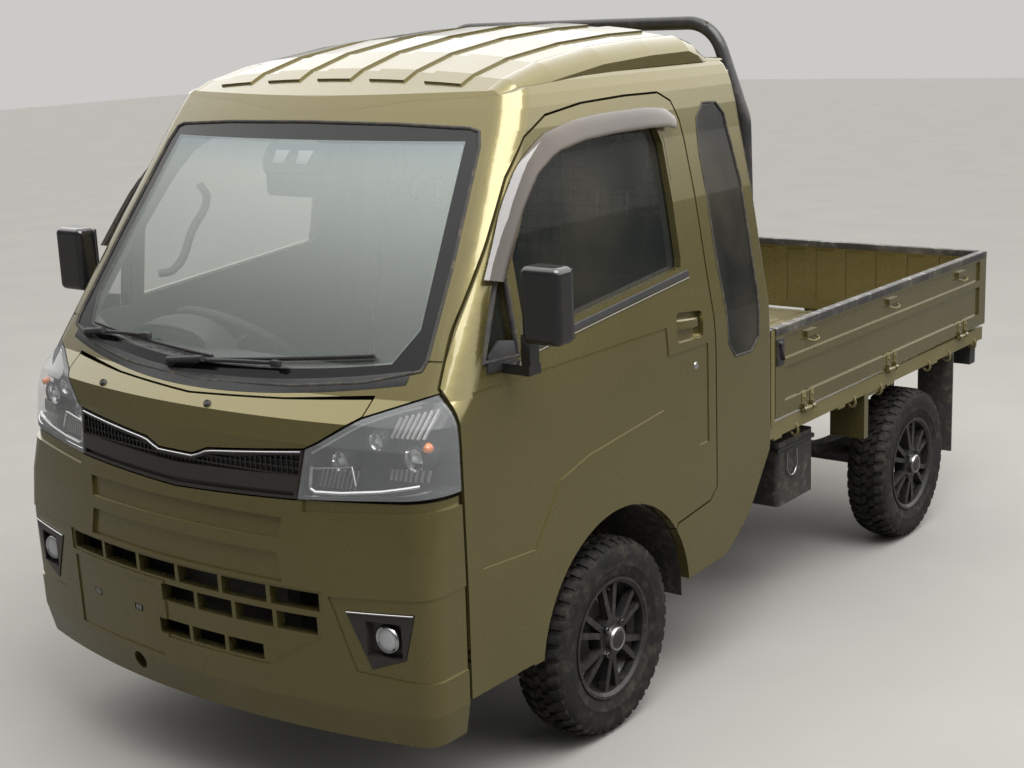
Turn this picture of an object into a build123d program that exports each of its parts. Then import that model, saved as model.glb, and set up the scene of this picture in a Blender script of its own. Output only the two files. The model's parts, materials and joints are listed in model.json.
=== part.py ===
"""Small four-wheel-drive cab-over pickup with a raised roof and a drop-side bed.

+X is the vehicle's left, -Y its front, +Z up. The origin is on the ground under the middle.
Stations along the vehicle are measured aft of the front axle and turned into y by at().
"""
from build123d import *
from math import atan2, cos, hypot, radians, sin, sqrt
import os

os.makedirs("parts", exist_ok=True)

# Overall sizes, in millimetres
LENGTH = 3395
HALF_WIDTH = 737.5
WHEELBASE = 1900
FRONT_OVERHANG = 860
FRONT_AXLE_Y = FRONT_OVERHANG - LENGTH / 2

# Wheels and tyres
TYRE_R = 268.5
TRACK_HALF = 650
RIM_R = 152
RIM_FLANGE_R = 165
HUB_BORE_R = 20
HUB_CAP_R = 30
SPOKES = 12
SPOKE_W = 16
SPOKE_ROOT = 46
SPOKE_SPREAD = 12

# Steering
KINGPIN_X = 545
STRUT_R = 22
STEER_ARM = 120
STUB_CLEARANCE = 0.05

# Cab panels
BOW_R = 2500
CAB_WALL = 45
ROOF_WALL = 25
CAB_REAR = 835
GLASS = 5
GLASS_SEAT = 8
SEAT_GAP = 0.3
PANEL_GAP = 4
DOOR_GAP = 6
SEAM = 4
PILLAR_SEAM_Z = 1129
FLOOR_T = 25
FOOT_FLOOR_Z = 375
PLATFORM_Z = 665
FIREWALL = -585

# Wheel arch in the cab's side
ARCH_Y = 10
ARCH_Z = 285
ARCH_R = 345

# Bed
BED_FRONT = 848
BED_REAR = 2535
BED_FLOOR_Z = 660
BED_FLOOR_T = 32
FLOOR_STEP = 4
FLOOR_GROOVES = 9
GROOVE_W = 44
GROOVE_PITCH = 145
GATE_T = 26
GATE_H = 285
GATE_CLEAR = 5
GATE_PIN_R = 7
HEADBOARD_T = 22

# Threaded socket for a towing eye, and the hole in the bumper before it
TOW_X = -190
TOW_Z = 305
TOW_R = 8
TOW_HOLE_R = 24

# Frame under the vehicle
RAIL_X = 330
RAIL_W = 60
RAIL_H = 90
RAIL_TOP = 600


def at(station):
    """y of a station measured aft of the front axle."""
    return FRONT_AXLE_Y + station


def block(x0, x1, s0, s1, z0, z1):
    """Box between two x, two stations and two heights."""
    box = Box(x1 - x0, s1 - s0, z1 - z0, align=(Align.MIN, Align.MIN, Align.MIN))
    return Pos(x0, at(s0), z0) * box


def side_prism(points, x0, x1):
    """Outline of (station, z) points, swept from x0 to x1."""
    outline = make_face(Polyline(*[(at(s), z) for s, z in points], close=True))
    return extrude(Plane.YZ.offset(x0) * outline, amount=x1 - x0)


def front_prism(points, s0, s1):
    """Outline of (x, z) points, swept from station s0 to s1."""
    outline = make_face(Polyline(*points, close=True))
    return extrude(Plane.XZ.offset(-at(s1)) * outline, amount=s1 - s0)


def rounded_prism(points, radius, plane, depth):
    """Closed outline in a plane with all corners rounded, swept by depth."""
    outline = make_face(FilletPolyline(*points, radius=radius, close=True))
    return extrude(plane * outline, amount=depth)


def rod(start, end, radius):
    """Round bar between two points."""
    a, b = Vector(*start), Vector(*end)
    plane = Plane(origin=a, z_dir=(b - a).normalized())
    return extrude(plane * Circle(radius), amount=(b - a).length)


def bent_tube(points, radius, corner):
    """Round bar along straight runs with rounded corners."""
    path = FilletPolyline(*points, radius=corner)
    section = Plane(origin=path @ 0, z_dir=path % 0) * Circle(radius)
    return sweep(section, path=path)


def ring_x(profile, s, z):
    """Turn a profile of (radius, x) points about an axis along x."""
    outline = make_face(Polyline(*[(x, r) for r, x in profile], close=True))
    solid = revolve(outline, axis=Axis.X)
    return Pos(0, at(s), z) * solid


def mirrored(shape):
    """Copy on the other side of the vehicle."""
    return shape.mirror(Plane.YZ)


def save(name, *shapes):
    """Write one piece; shapes that don't touch stay separate solids."""
    solids = []
    for shape in shapes:
        solids.extend(shape.solids())
    whole = solids[0] if len(solids) == 1 else Compound(children=solids)
    export_step(whole, f"parts/{name}.step")


# Cab envelope: z, nose station on the centre line, half width, corner radius
CAB_SECTIONS = [
    (250, -838, 718, 60),
    (330, -855, 733, 60),
    (600, -860, 737.5, 60),
    (720, -852, 737.5, 85),
    (800, -838, 737.5, 110),
    (950, -816, 737.5, 110),
    (1000, -795, 736, 105),
    (1050, -735, 732, 100),
    (1150, -663, 714, 90),
    (1380, -497, 676, 80),
    (1550, -374, 640, 75),
    (1620, -323, 627, 72),
    (1670, -287, 614, 70),
    (1700, -265, 603, 68),
    (1725, -247, 588, 66),
    (1737, -238, 574, 64),
]
REAR_CORNER = 30


def plan_outline(z, nose, half, corner, rear):
    """Closed plan outline at one height: bowed nose, rounded front and rear corners."""
    bow_y = at(nose) + BOW_R
    cx = half - corner
    cy = bow_y - sqrt((BOW_R - corner) ** 2 - cx ** 2)
    reach = hypot(cx, cy - bow_y)
    ux, uy = cx / reach, (cy - bow_y) / reach
    tx, ty = BOW_R * ux, bow_y + BOW_R * uy
    middle = atan2(uy, ux) / 2
    mx, my = cx + corner * cos(middle), cy + corner * sin(middle)
    back = at(rear)
    r = REAR_CORNER
    k = r * (1 - sqrt(0.5))
    edges = [
        ThreePointArc((-tx, ty, z), (0, at(nose), z), (tx, ty, z)),
        ThreePointArc((tx, ty, z), (mx, my, z), (half, cy, z)),
        Line((half, cy, z), (half, back - r, z)),
        ThreePointArc((half, back - r, z), (half - k, back - k, z), (half - r, back, z)),
        Line((half - r, back, z), (r - half, back, z)),
        ThreePointArc((r - half, back, z), (k - half, back - k, z), (-half, back - r, z)),
        Line((-half, back - r, z), (-half, cy, z)),
        ThreePointArc((-half, cy, z), (-mx, my, z), (-tx, ty, z)),
    ]
    return Wire([edge.edge() for edge in edges])


def envelope(side=0, front=0, back=0, top=0, sections=CAB_SECTIONS):
    """Solid of the cab's outer form, drawn in from the side, front, back and top."""
    rows = []
    for z, nose, half, corner in sections:
        radius = max(corner - min(side, front), 25)
        rows.append(plan_outline(z - top * (z == sections[-1][0]), nose + front, half - side,
                                 radius, CAB_REAR - back))
    return Solid.make_loft(rows, True)


def side_wall(depth):
    """Left-hand slab from depth inside the cab's side to well outside it."""
    inner = [(half - depth, z) for z, nose, half, corner in CAB_SECTIONS]
    return front_prism(inner + [(900, inner[-1][1]), (900, inner[0][1])], -900, 900)


# Shut line of the door: station, z, clockwise from the front bottom corner
DOOR_LINE = [
    (-615, 335), (-615, 1085), (-530, 1200), (-405, 1360), (-288, 1515), (-200, 1602),
    (-100, 1646), (60, 1664), (256, 1669), (415, 1667), (468, 1642), (493, 1590), (500, 1540),
    (500, 560), (466, 530), (294, 510), (150, 300), (-371, 300), (-371, 335),
]
# Body seam under the raised roof: station, z
ROOF_SEAM = [
    (-420, 1560), (-333, 1637), (-253, 1691), (-139, 1717), (121, 1731), (407, 1736), (900, 1736),
]
# Windscreen glass seen from the front: x, z
SCREEN_LINE = [
    (0, 1046), (300, 1058), (500, 1078), (628, 1108), (634, 1130), (608, 1330), (562, 1585),
    (545, 1622), (520, 1630), (300, 1640), (0, 1644),
]
DOOR_GLASS_LINE = [
    (-345, 1128), (385, 1196), (392, 1230), (402, 1540), (385, 1585), (330, 1610), (60, 1607),
    (-70, 1594), (-165, 1552), (-232, 1490), (-345, 1340),
]
QUARTER_PANE = [(-505, 1118), (-375, 1112), (-375, 1300), (-405, 1304)]
REAR_QUARTER_LINE = [
    (575, 960), (610, 918), (700, 915), (745, 950), (758, 1080), (758, 1400), (735, 1590),
    (700, 1625), (630, 1628), (585, 1590), (568, 1500), (562, 1250),
]


def grown(points, by):
    """Outline with each corner moved away from the middle by a share of its distance."""
    mx = sum(p[0] for p in points) / len(points)
    mz = sum(p[1] for p in points) / len(points)
    moved = []
    for px, pz in points:
        reach = hypot(px - mx, pz - mz)
        moved.append((px + (px - mx) * by / reach, pz + (pz - mz) * by / reach))
    return moved


def both_sides(points):
    """Closed outline from its right half: x, z."""
    return points + [(-x, z) for x, z in reversed(points) if x > 0]


OUTER = envelope()
INNER = envelope(side=CAB_WALL, front=CAB_WALL / 0.8, back=CAB_WALL, top=-40)
BELOW_GLASS = envelope(side=GLASS_SEAT, front=GLASS_SEAT / 0.8, back=GLASS_SEAT, top=-20)
GLASS_OUTER = envelope(side=2, front=2, back=2, top=-5)
GLASS_INNER = envelope(side=2 + GLASS, front=(2 + GLASS) / 0.8, back=2 + GLASS, top=-10)
ABOVE_SEAM = side_prism(ROOF_SEAM + [(900, 1950), (-420, 1950)], -800, 800)
LEFT_HALF = block(0, 900, -1000, 2000, 0, 2100)

# Front pieces, seen from the front: x, z
LAMP_LINE = [(392, 822), (408, 938), (438, 952), (534, 1012), (716, 1076), (760, 1080), (760, 850)]
LAMP_REAR = -612
LAMP_DEPTH = 78
LAMP_WALL = 4
LENS_T = 3
# Projector barrels of a headlamp: x, z, radius, station of the front end
LAMP_BARRELS = [(474, 908, 31, -742), (566, 962, 27, -716), (655, 925, 34, -690)]
LID_LINE = [
    (0, 893), (60, 893), (110, 912), (404, 941), (434, 956), (530, 1017), (530, 1048), (300, 1034),
    (0, 1022),
]
GRILLE_LINE = [(0, 806), (389, 822), (401, 936), (108, 907), (62, 888), (0, 888)]
NOSE_CUT = -616
NOSE_REAR = -624
# Region of all pieces ahead of the cab shell: x, z
NOSE_LINE = [
    (0, 1026), (300, 1038), (534, 1057), (534, 1017), (714, 1080), (800, 1084), (800, 100), (0, 100),
]
BUMPER_WALL = 30
# Depth of the fields pressed into the nose and the doors
PRESS = 9
LOW_PRESS = 4
DOOR_PRESS = 3
GRILLE_PRESS = 16
SLAT_PRESS = 7


def shut(points, s0=-900, s1=300):
    """Front outline on the left half, swept aft."""
    return front_prism(points, s0, s1)


def wheel_arch(x0, x1, extra=0):
    """Cylinder of the front wheel arch with its flared front leg."""
    arch = Pos(x0, at(ARCH_Y), ARCH_Z) * Rot(0, 90, 0) * Cylinder(
        ARCH_R + extra, x1 - x0, align=(Align.CENTER, Align.CENTER, Align.MIN))
    leg = side_prism([(-371 - extra, 200), (-371 - extra, 330), (-333 - extra, 330), (-60, 400),
                      (-60, 200)], x0, x1)
    tail = side_prism([(0, 200), (0, 400), (310 + extra, 400), (286 + extra, 359),
                       (240 + extra, 320), (240 + extra, 200)], x0, x1)
    return arch + leg + tail


def sill_cut():
    """Everything below the cab's lower edge behind the front wheel."""
    line = [(-640, 100), (-640, 344), (-340, 344), (-340, 323), (242, 323), (555, 338), (620, 375),
            (687, 425), (729, 479), (811, 597), (840, 640), (900, 640), (900, 100)]
    return side_prism(line, -800, 800)


def cab_floor():
    """Firewall, foot floor, heel step and seat platform as one folded plate."""
    t = FLOOR_T
    heel = -(ARCH_R + 20 - ARCH_Y)
    line = [(FIREWALL, 1035), (FIREWALL, FOOT_FLOOR_Z - t), (heel + t, FOOT_FLOOR_Z - t),
            (heel + t, PLATFORM_Z - t), (CAB_REAR - CAB_WALL, PLATFORM_Z - t),
            (CAB_REAR - CAB_WALL, PLATFORM_Z), (heel, PLATFORM_Z), (heel, FOOT_FLOOR_Z),
            (FIREWALL + t, FOOT_FLOOR_Z), (FIREWALL + t, 1035)]
    half = CAB_SECTIONS[2][2] - CAB_WALL
    return side_prism(line, -half, half)


def door_region(gap):
    """Left-hand region taken by the door, grown by a gap on its shut line."""
    outline = make_face(Polyline(*[(at(s), z) for s, z in DOOR_LINE], close=True))
    if gap:
        outline = offset(outline, amount=gap, kind=Kind.INTERSECTION)
    prism = extrude(Plane.YZ.offset(300) * outline, amount=600)
    return prism & side_wall(CAB_WALL + gap)


def windscreen_cut(shrink, s1=200):
    """Region of the windscreen opening, drawn in from the glass outline."""
    line = make_face(Polyline(*both_sides(SCREEN_LINE), close=True))
    line = offset(line, amount=-shrink, kind=Kind.INTERSECTION)
    return extrude(Plane.XZ.offset(-at(s1)) * line, amount=s1 + 950)


def pane_cut(points, shrink, x0=500, x1=900):
    """Region of a side window on the left, drawn in from its outline."""
    line = make_face(Polyline(*[(at(s), z) for s, z in points], close=True))
    line = offset(line, amount=-shrink, kind=Kind.INTERSECTION)
    return extrude(Plane.YZ.offset(x0) * line, amount=x1 - x0)


def rear_window_cut(shrink, s0, s1):
    """Region of the cab's rear window."""
    half, low, high, r = 430 - shrink, 1120 + shrink, 1560 - shrink, 40 - shrink / 2
    points = [(-half, low), (half, low), (half, high), (-half, high)]
    return rounded_prism(points, r, Plane.XZ.offset(-at(s1)), s1 - s0)


# Front lid hinges: distance from the middle, place and radius of their pins
LID_HINGE_X = 150
LID_PIN_S = -650
LID_PIN_Z = 1040
LID_PIN_R = 4
# Gooseneck arm of the lid from its pin down, forward and up to the lid: station, z
LID_ARM_LINE = [(LID_PIN_S, LID_PIN_Z), (-706, 936), (-790, 984)]
LID_ARM_W = 12
# Clearance of the lid's rear edge, turned about its pins: x, radius
LID_EDGE = [(0, 118.5), (150, 106), (300, 85), (400, 60.5), (532, 31)]

# Door hinges: heights, and the place of their pins inside the door's front edge
DOOR_HINGES = (440, 920)
HINGE_X = 731
HINGE_S = -609.5
PIN_R = 3


def post_z(x, s, z0, z1, radius):
    """Upright round bar."""
    return rod((x, at(s), z0), (x, at(s), z1), radius)


# Cab shell with its openings
nose_region = front_prism(both_sides(NOSE_LINE), -950, NOSE_CUT)
shell = OUTER - INNER - ABOVE_SEAM
shell = shell - nose_region
shell = shell - (windscreen_cut(-SEAT_GAP) - BELOW_GLASS) - windscreen_cut(22)
quarter_seat = pane_cut(REAR_QUARTER_LINE, -SEAT_GAP) - BELOW_GLASS
quarter_hole = pane_cut(REAR_QUARTER_LINE, 14)
rear_seat = rear_window_cut(-SEAT_GAP, CAB_REAR - 100, CAB_REAR + 60) - BELOW_GLASS
rear_hole = rear_window_cut(16, CAB_REAR - 200, CAB_REAR + 60)
door_hole = door_region(DOOR_GAP)
arch_hole = wheel_arch(380, 900)
for cut in (quarter_seat, quarter_hole, door_hole, arch_hole):
    shell = shell - cut - mirrored(cut)
seam_layer = OUTER - envelope(side=SEAM, front=SEAM, top=-10)
seam_zone = block(-800, 800, -950, -500, PILLAR_SEAM_Z, PILLAR_SEAM_Z + SEAM)
shell = shell - (seam_layer & seam_zone)
shell = shell - rear_seat - rear_hole - sill_cut()
shell = shell - block(-690, 690, -400, CAB_REAR + 10, 200, PLATFORM_Z - FLOOR_T)
cowl_shelf = block(-530, 530, -640, FIREWALL + 5, 1015, 1035)
cab_shell = shell + cab_floor() + cowl_shelf
cab_shell = cab_shell - door_hole - mirrored(door_hole)
for z in DOOR_HINGES:
    lug = block(668, 686, HINGE_S - 3, FIREWALL + 5, z - 7, z + 7)
    lug = lug + block(668, HINGE_X, HINGE_S - 3, HINGE_S + 3, z - 7, z + 7)
    lug = lug + post_z(HINGE_X, HINGE_S, z - 7, z + 7, 3.2) + post_z(HINGE_X, HINGE_S, z - 26, z + 26, PIN_R)
    cab_shell = cab_shell + lug + mirrored(lug)
for x in (-LID_HINGE_X, LID_HINGE_X):
    notch = block(x - 28, x + 28, LID_PIN_S - 72, -600, 1020, LID_PIN_Z + 10)
    cab_shell = cab_shell - (notch - block(x - 28, x + 28, -641, -600, 1015, 1035))
    lug = block(x - 6, x + 6, LID_PIN_S - 5.5, -630, LID_PIN_Z - 18, LID_PIN_Z - 5.5)
    lug = lug + block(x - 6, x + 6, LID_PIN_S - 5.5, LID_PIN_S + 5.5, LID_PIN_Z - 18, LID_PIN_Z)
    lug = lug + rod((x - 6, at(LID_PIN_S), LID_PIN_Z), (x + 6, at(LID_PIN_S), LID_PIN_Z), 5.5)
    lug = lug + rod((x - 22, at(LID_PIN_S), LID_PIN_Z), (x + 22, at(LID_PIN_S), LID_PIN_Z), LID_PIN_R)
    cab_shell = cab_shell + lug
save("cab_shell", cab_shell)

# Glass
windscreen = (GLASS_OUTER - GLASS_INNER) & windscreen_cut(SEAT_GAP)
windscreen = windscreen & block(-800, 800, -950, 0, 900, 1900)
save("windscreen", windscreen)
quarter_glass = (GLASS_OUTER - GLASS_INNER) & pane_cut(REAR_QUARTER_LINE, SEAT_GAP)
rear_glass = (GLASS_OUTER - GLASS_INNER) & rear_window_cut(SEAT_GAP, CAB_REAR - 60, CAB_REAR + 60)
save("cab_windows", quarter_glass, mirrored(quarter_glass), rear_glass)

# Raised roof: station, half width at the seam, shoulder half width, shoulder z, centre z
ROOF_SECTIONS = [
    (-420, 560, 530, 1560, 1572),
    (-340, 566, 530, 1625, 1640),
    (-260, 576, 528, 1690, 1712),
    (-140, 582, 522, 1740, 1768),
    (0, 584, 516, 1772, 1806),
    (220, 584, 510, 1800, 1838),
    (450, 584, 506, 1812, 1856),
    (640, 584, 504, 1815, 1860),
    (690, 584, 512, 1800, 1838),
    (750, 584, 545, 1752, 1762),
    (CAB_REAR, 584, 555, 1745, 1752),
]


def roof_form(inset):
    """Loft of the raised roof, drawn in by a wall thickness."""
    rows = []
    for s, base, shoulder, low, high in ROOF_SECTIONS:
        y = at(s)
        b, h = base - inset, shoulder - inset * 0.8
        z0, z1, z2 = 1500 - inset * 0.01, low - inset * 0.9, high - inset
        knee = (b + h) / 2 + 9
        edges = [
            Line((-b, y, z0), (b, y, z0)),
            Line((b, y, z0), (b, y, z1 - 40)),
            ThreePointArc((b, y, z1 - 40), (knee + 4, y, z1 - 9), (h, y, z1 + 4)),
            ThreePointArc((h, y, z1 + 4), (0, y, z2), (-h, y, z1 + 4)),
            ThreePointArc((-h, y, z1 + 4), (-knee - 4, y, z1 - 9), (-b, y, z1 - 40)),
            Line((-b, y, z1 - 40), (-b, y, z0)),
        ]
        rows.append(Wire([edge.edge() for edge in edges]))
    return Solid.make_loft(rows, True)


HIGH_SECTIONS = CAB_SECTIONS[:12] + [(1900, -121, 627, 72)]
roof_limit = envelope(sections=HIGH_SECTIONS)
ROOF_RIBS = (-372, -186, 0, 186, 372)
RIB_W = 118
RIB_H = 6
RIB_START = -190
RIB_END = 630
above_roof_gap = side_prism([(s, z + SEAT_GAP) for s, z in ROOF_SEAM] + [(900, 1950), (-420, 1950)],
                            -800, 800)
ribs = [block(x - RIB_W / 2, x + RIB_W / 2, RIB_START, RIB_END, 1700, 1900) for x in ROOF_RIBS]
ribbed = roof_form(RIB_H) + (roof_form(0) & Compound(children=ribs))
roof_panel = (ribbed - roof_form(ROOF_WALL)) & roof_limit & above_roof_gap
save("roof_panel", roof_panel)

# Nose: bumper, lamps, grille and lid
nose_shell = (OUTER - envelope(side=BUMPER_WALL, front=BUMPER_WALL, back=0, top=-10))
nose_shell = nose_shell & block(-800, 800, -950, NOSE_REAR, 200, 1090)
lamp_zone = shut(LAMP_LINE, -950, LAMP_REAR)
lid_zone = front_prism(both_sides(LID_LINE), -950, -560)
grille_zone = front_prism(both_sides(GRILLE_LINE), -950, -560)
low_zone = front_prism([(-800, 840), (-389, 818), (0, 802), (389, 818), (800, 840), (800, 100),
                        (-800, 100)], -950, -560)


NOSE_SECTIONS = CAB_SECTIONS[:9]
NOSE_SPACE = block(-800, 800, -950, NOSE_REAR, 200, 1090)


def skin(depth, start=0):
    """Layer of the nose between two depths below its outer form."""
    outer = envelope(side=start, front=start, sections=NOSE_SECTIONS)
    return (outer - envelope(side=depth, front=depth, top=-10, sections=NOSE_SECTIONS)) & NOSE_SPACE


# Air slots: x from and to, z from and to, cells
SLOTS = [(-450, 450, 560, 605, 6), (-60, 440, 500, 545, 4), (-85, 275, 410, 450, 3)]
SLOT_BAR = 12
# Fields pressed deep into the bumper, seen from the front: x, z
DEEP_FIELDS = [
    [(-338, 722), (338, 722), (350, 774), (-350, 774)],
    [(-350, 620), (350, 620), (338, 690), (-338, 690)],
    [(404, 792), (760, 818), (760, 860), (404, 860)],
    [(-404, 792), (-404, 860), (-760, 860), (-760, 818)],
]
# Shallow fields: round the slots, the plate panel and the fog lamps
LOW_FIELDS = [
    [(-462, 612), (-462, 552), (-52, 552), (-52, 492), (-52, 402), (290, 402), (452, 496), (462, 612)],
    [(-452, 348), (-76, 348), (-76, 540), (-452, 540)],
    [(478, 604), (540, 425), (760, 412), (760, 622)],
    [(-478, 604), (-760, 622), (-760, 412), (-540, 425)],
]
CLIP_SLOTS = [(-372, -338, 447, 465), (-186, -152, 447, 465)]
bumper = nose_shell & low_zone
pressed = skin(PRESS)
low_pressed = skin(LOW_PRESS)
for depth, fields in ((pressed, DEEP_FIELDS), (low_pressed, LOW_FIELDS)):
    zone = [front_prism(field, -950, NOSE_REAR) for field in fields]
    bumper = bumper - (depth & Compound(children=zone))
for x0, x1, z0, z1, cells in SLOTS:
    pitch = (x1 - x0 + SLOT_BAR) / cells
    for i in range(cells):
        bumper = bumper - block(x0 + i * pitch, x0 + (i + 1) * pitch - SLOT_BAR, -950, -700, z0, z1)
for x0, x1, z0, z1 in CLIP_SLOTS:
    bumper = bumper - block(x0, x1, -950, -700, z0, z1)
FOG_LINE = [(522, 573), (694, 582), (666, 470), (581, 438)]
FOG_X = 616
FOG_Z = 512
FOG_R = 34
FOG_POCKET = 22
fog_hole = front_prism(grown(FOG_LINE, 1.5), -950, -560)
bumper = bumper - fog_hole - mirrored(fog_hole)
tow_hole = rod((TOW_X, at(-950), TOW_Z), (TOW_X, at(-700), TOW_Z), TOW_HOLE_R)
bumper = bumper - tow_hole
save("front_bumper", bumper)

# Fog lamp: a bezel with a square pocket and a round lamp in it
fog = (nose_shell & front_prism(FOG_LINE, -950, -560)) - skin(SEAT_GAP * 5)
pocket = block(FOG_X - 44, FOG_X + 44, -950, -700, FOG_Z - 42, FOG_Z + 44)
fog = fog - (skin(FOG_POCKET) & pocket)
fog = fog + (rod((FOG_X, at(-768), FOG_Z), (FOG_X, at(-750), FOG_Z), FOG_R) & nose_shell)
save("fog_lamps", fog, mirrored(fog))

# Headlamp: a deep bowl with round barrels behind a clear lens
lens = skin(LENS_T) & lamp_zone
lamp = skin(LAMP_DEPTH, LENS_T + SEAT_GAP) & lamp_zone
bowl_line = grown(LAMP_LINE[:4] + [(712, 1068), (760, 1072), (760, 858)], -2 * LAMP_WALL)
bowl = skin(LAMP_DEPTH - LAMP_WALL) & front_prism(bowl_line, -950, NOSE_REAR - LAMP_WALL)
lamp = lamp - bowl
for x, z, radius, s in LAMP_BARRELS:
    barrel = rod((x, at(s), z), (x, at(s + 90), z), radius)
    barrel = barrel - rod((x, at(s - 1), z), (x, at(s + 14), z), radius - 5)
    lamp = lamp + (barrel & bowl)
save("headlamps", lamp, mirrored(lamp))
save("headlamp_lenses", lens, mirrored(lens))

# Grille: a slatted band above a wide blade, and a sunk strip below it
UPPER_BAND = [(0, 862), (392, 874), (394, 924), (112, 895), (66, 877), (0, 877)]
LOWER_BAND = [(0, 814), (380, 828), (381, 838), (0, 826)]
SLATS = [(872, 876), (888, 892), (904, 908)]
upper_band = front_prism(both_sides(UPPER_BAND), -950, -560)
lower_band = front_prism(both_sides(LOWER_BAND), -950, -560)
grille = nose_shell & grille_zone
grille = grille - (skin(GRILLE_PRESS) & upper_band) - (pressed & lower_band)
slat_layer = skin(GRILLE_PRESS + 2, SLAT_PRESS) & upper_band
for z0, z1 in SLATS:
    grille = grille + (slat_layer & block(-400, 400, -950, -560, z0, z1))
save("grille", grille)

lid = nose_shell & lid_zone
LID_WALL = 14
lid = lid - envelope(side=LID_WALL, front=LID_WALL, back=0, top=-10)


def lid_arm(x0, x1):
    """Gooseneck between two x: two straight runs with round ends, inside the nose."""
    total = None
    for (s0, z0), (s1, z1) in zip(LID_ARM_LINE, LID_ARM_LINE[1:]):
        reach = hypot(s1 - s0, z1 - z0)
        ds, dz = (z0 - z1) / reach * LID_ARM_W / 2, (s1 - s0) / reach * LID_ARM_W / 2
        run = side_prism([(s0 + ds, z0 + dz), (s1 + ds, z1 + dz), (s1 - ds, z1 - dz),
                          (s0 - ds, z0 - dz)], x0, x1)
        elbow = rod((x0, at(s1), z1), (x1, at(s1), z1), LID_ARM_W / 2)
        total = run + elbow if total is None else total + run + elbow
    return (total + rod((x0, at(LID_PIN_S), LID_PIN_Z), (x1, at(LID_PIN_S), LID_PIN_Z), 8)) & OUTER


lid = lid - ring_x([(0, -532)] + [(r, -x) for x, r in reversed(LID_EDGE)]
                   + [(r, x) for x, r in LID_EDGE[1:]] + [(0, 532)], LID_PIN_S, LID_PIN_Z)
for x in (-LID_HINGE_X, LID_HINGE_X):
    for off in (-15, 15):
        lid = lid + lid_arm(x + off - 5, x + off + 5)
    lid = lid - rod((x - 24, at(LID_PIN_S), LID_PIN_Z), (x + 24, at(LID_PIN_S), LID_PIN_Z),
                    LID_PIN_R + STUB_CLEARANCE)
save("front_lid", lid)

# Panel behind the nose that carries the bumper, lamps and grille
PANEL_T = 12
seat = BUMPER_WALL + SEAT_GAP
front_panel = envelope(side=seat, front=seat, top=-10) - envelope(
    side=seat + PANEL_T, front=seat + PANEL_T, top=-20)
front_panel = front_panel & block(-800, 800, -950, NOSE_REAR, 262, 1000)
front_panel = front_panel - block(-470, 470, -950, -560, 395, 620) - tow_hole
front_panel = front_panel - block(-380, 380, -950, -560, LID_LINE[0][1] + 10, 1100)
lamp_room = front_prism(grown(LAMP_LINE, 2 * SEAT_GAP), -950, -560)
front_panel = front_panel - lamp_room - mirrored(lamp_room)
save("front_panel", front_panel)

# Doors
door_outer = OUTER & door_region(0) & LEFT_HALF
door_outer = door_outer - wheel_arch(380, 900)
glass_seat_zone = pane_cut(DOOR_GLASS_LINE, -SEAT_GAP)
DOOR_FIELD = [(-560, 1062), (-560, 640), (-355, 626), (-240, 773), (-118, 806), (234, 843),
              (412, 703), (462, 703), (462, 985), (260, 985), (260, 1062)]
HANDLE_LINE = [(304, 1010), (440, 1006), (446, 1078), (318, 1092)]
HANDLE_DEPTH = 16
door = door_outer - (side_prism(DOOR_FIELD, 300, 900) & side_wall(DOOR_PRESS))
recess = rounded_prism([(at(s), z) for s, z in HANDLE_LINE], 14, Plane.YZ.offset(300), 600)
door = door - (recess & side_wall(HANDLE_DEPTH))
door = door - (glass_seat_zone & (side_wall(28) - side_wall(20)))
door = door - pane_cut(DOOR_GLASS_LINE, 10) - pane_cut(QUARTER_PANE, 4)
for z in DOOR_HINGES:
    door = door - block(680, HINGE_X + 3.5, -630, HINGE_S + 8.5, z - 17, z + 17)
    door = door - post_z(HINGE_X, HINGE_S, z - 28, z + 28, PIN_R + STUB_CLEARANCE)
door_glass = pane_cut(DOOR_GLASS_LINE, SEAT_GAP) & (side_wall(26) - side_wall(22)) & door_outer
front_pane = pane_cut(QUARTER_PANE, 4 + SEAT_GAP) & (side_wall(26) - side_wall(22))
mirror_head = Pos(845, at(-420), 1250) * Box(110, 70, 180)
mirror_head = fillet(mirror_head.edges(), 18)
mirror_arm = block(690, 806, -445, -400, 1084, 1108) - OUTER
mirror = mirror_head + mirror_arm + block(780, 806, -440, -405, 1084, 1180)
for name, flip in (("left", False), ("right", True)):
    shapes = [mirrored(piece) if flip else piece for piece in (door, door_glass, front_pane, mirror)]
    save(f"door_{name}", shapes[0])
    save(f"door_glass_{name}", shapes[1], shapes[2])
    save(f"door_mirror_{name}", shapes[3])

# Inside the cab
DASH_LINE = [
    (-640, 1036), (-640, 1052), (-560, 1066), (-440, 1050), (-395, 1000), (-385, 930),
    (-395, 850), (-415, 790), (-559, 770), (-559, 1036),
]
HANDWHEEL_X = -360
HANDWHEEL_S = -265
HANDWHEEL_Z = 1020
HANDWHEEL_R = 180
HANDWHEEL_TILT = 38
GRIP_R = 13
COLUMN_R = 24
hub_plane = Plane(origin=(HANDWHEEL_X, at(HANDWHEEL_S), HANDWHEEL_Z),
                  z_dir=(0, sin(radians(HANDWHEEL_TILT)), cos(radians(HANDWHEEL_TILT))),
                  x_dir=(1, 0, 0))
column = hub_plane.offset(-300) * Cylinder(COLUMN_R, 245, align=(Align.CENTER, Align.CENTER, Align.MIN))
shaft = hub_plane.offset(-60) * Cylinder(9, 60, align=(Align.CENTER, Align.CENTER, Align.MIN))
column = column + shaft
dash_space = envelope(side=CAB_WALL + 1, front=CAB_WALL / 0.8 + 1, back=CAB_WALL)
dash = side_prism(DASH_LINE, -672, 672) & dash_space
dash = dash - hub_plane.offset(-300) * Cylinder(COLUMN_R, 300, align=(Align.CENTER, Align.CENTER, Align.MIN))
column = column - side_prism([(-700, 700), (-700, 1200), (-500, 1200), (-500, 700)], -700, 700)
save("dashboard", dash)
save("steering_column", column)

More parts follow.
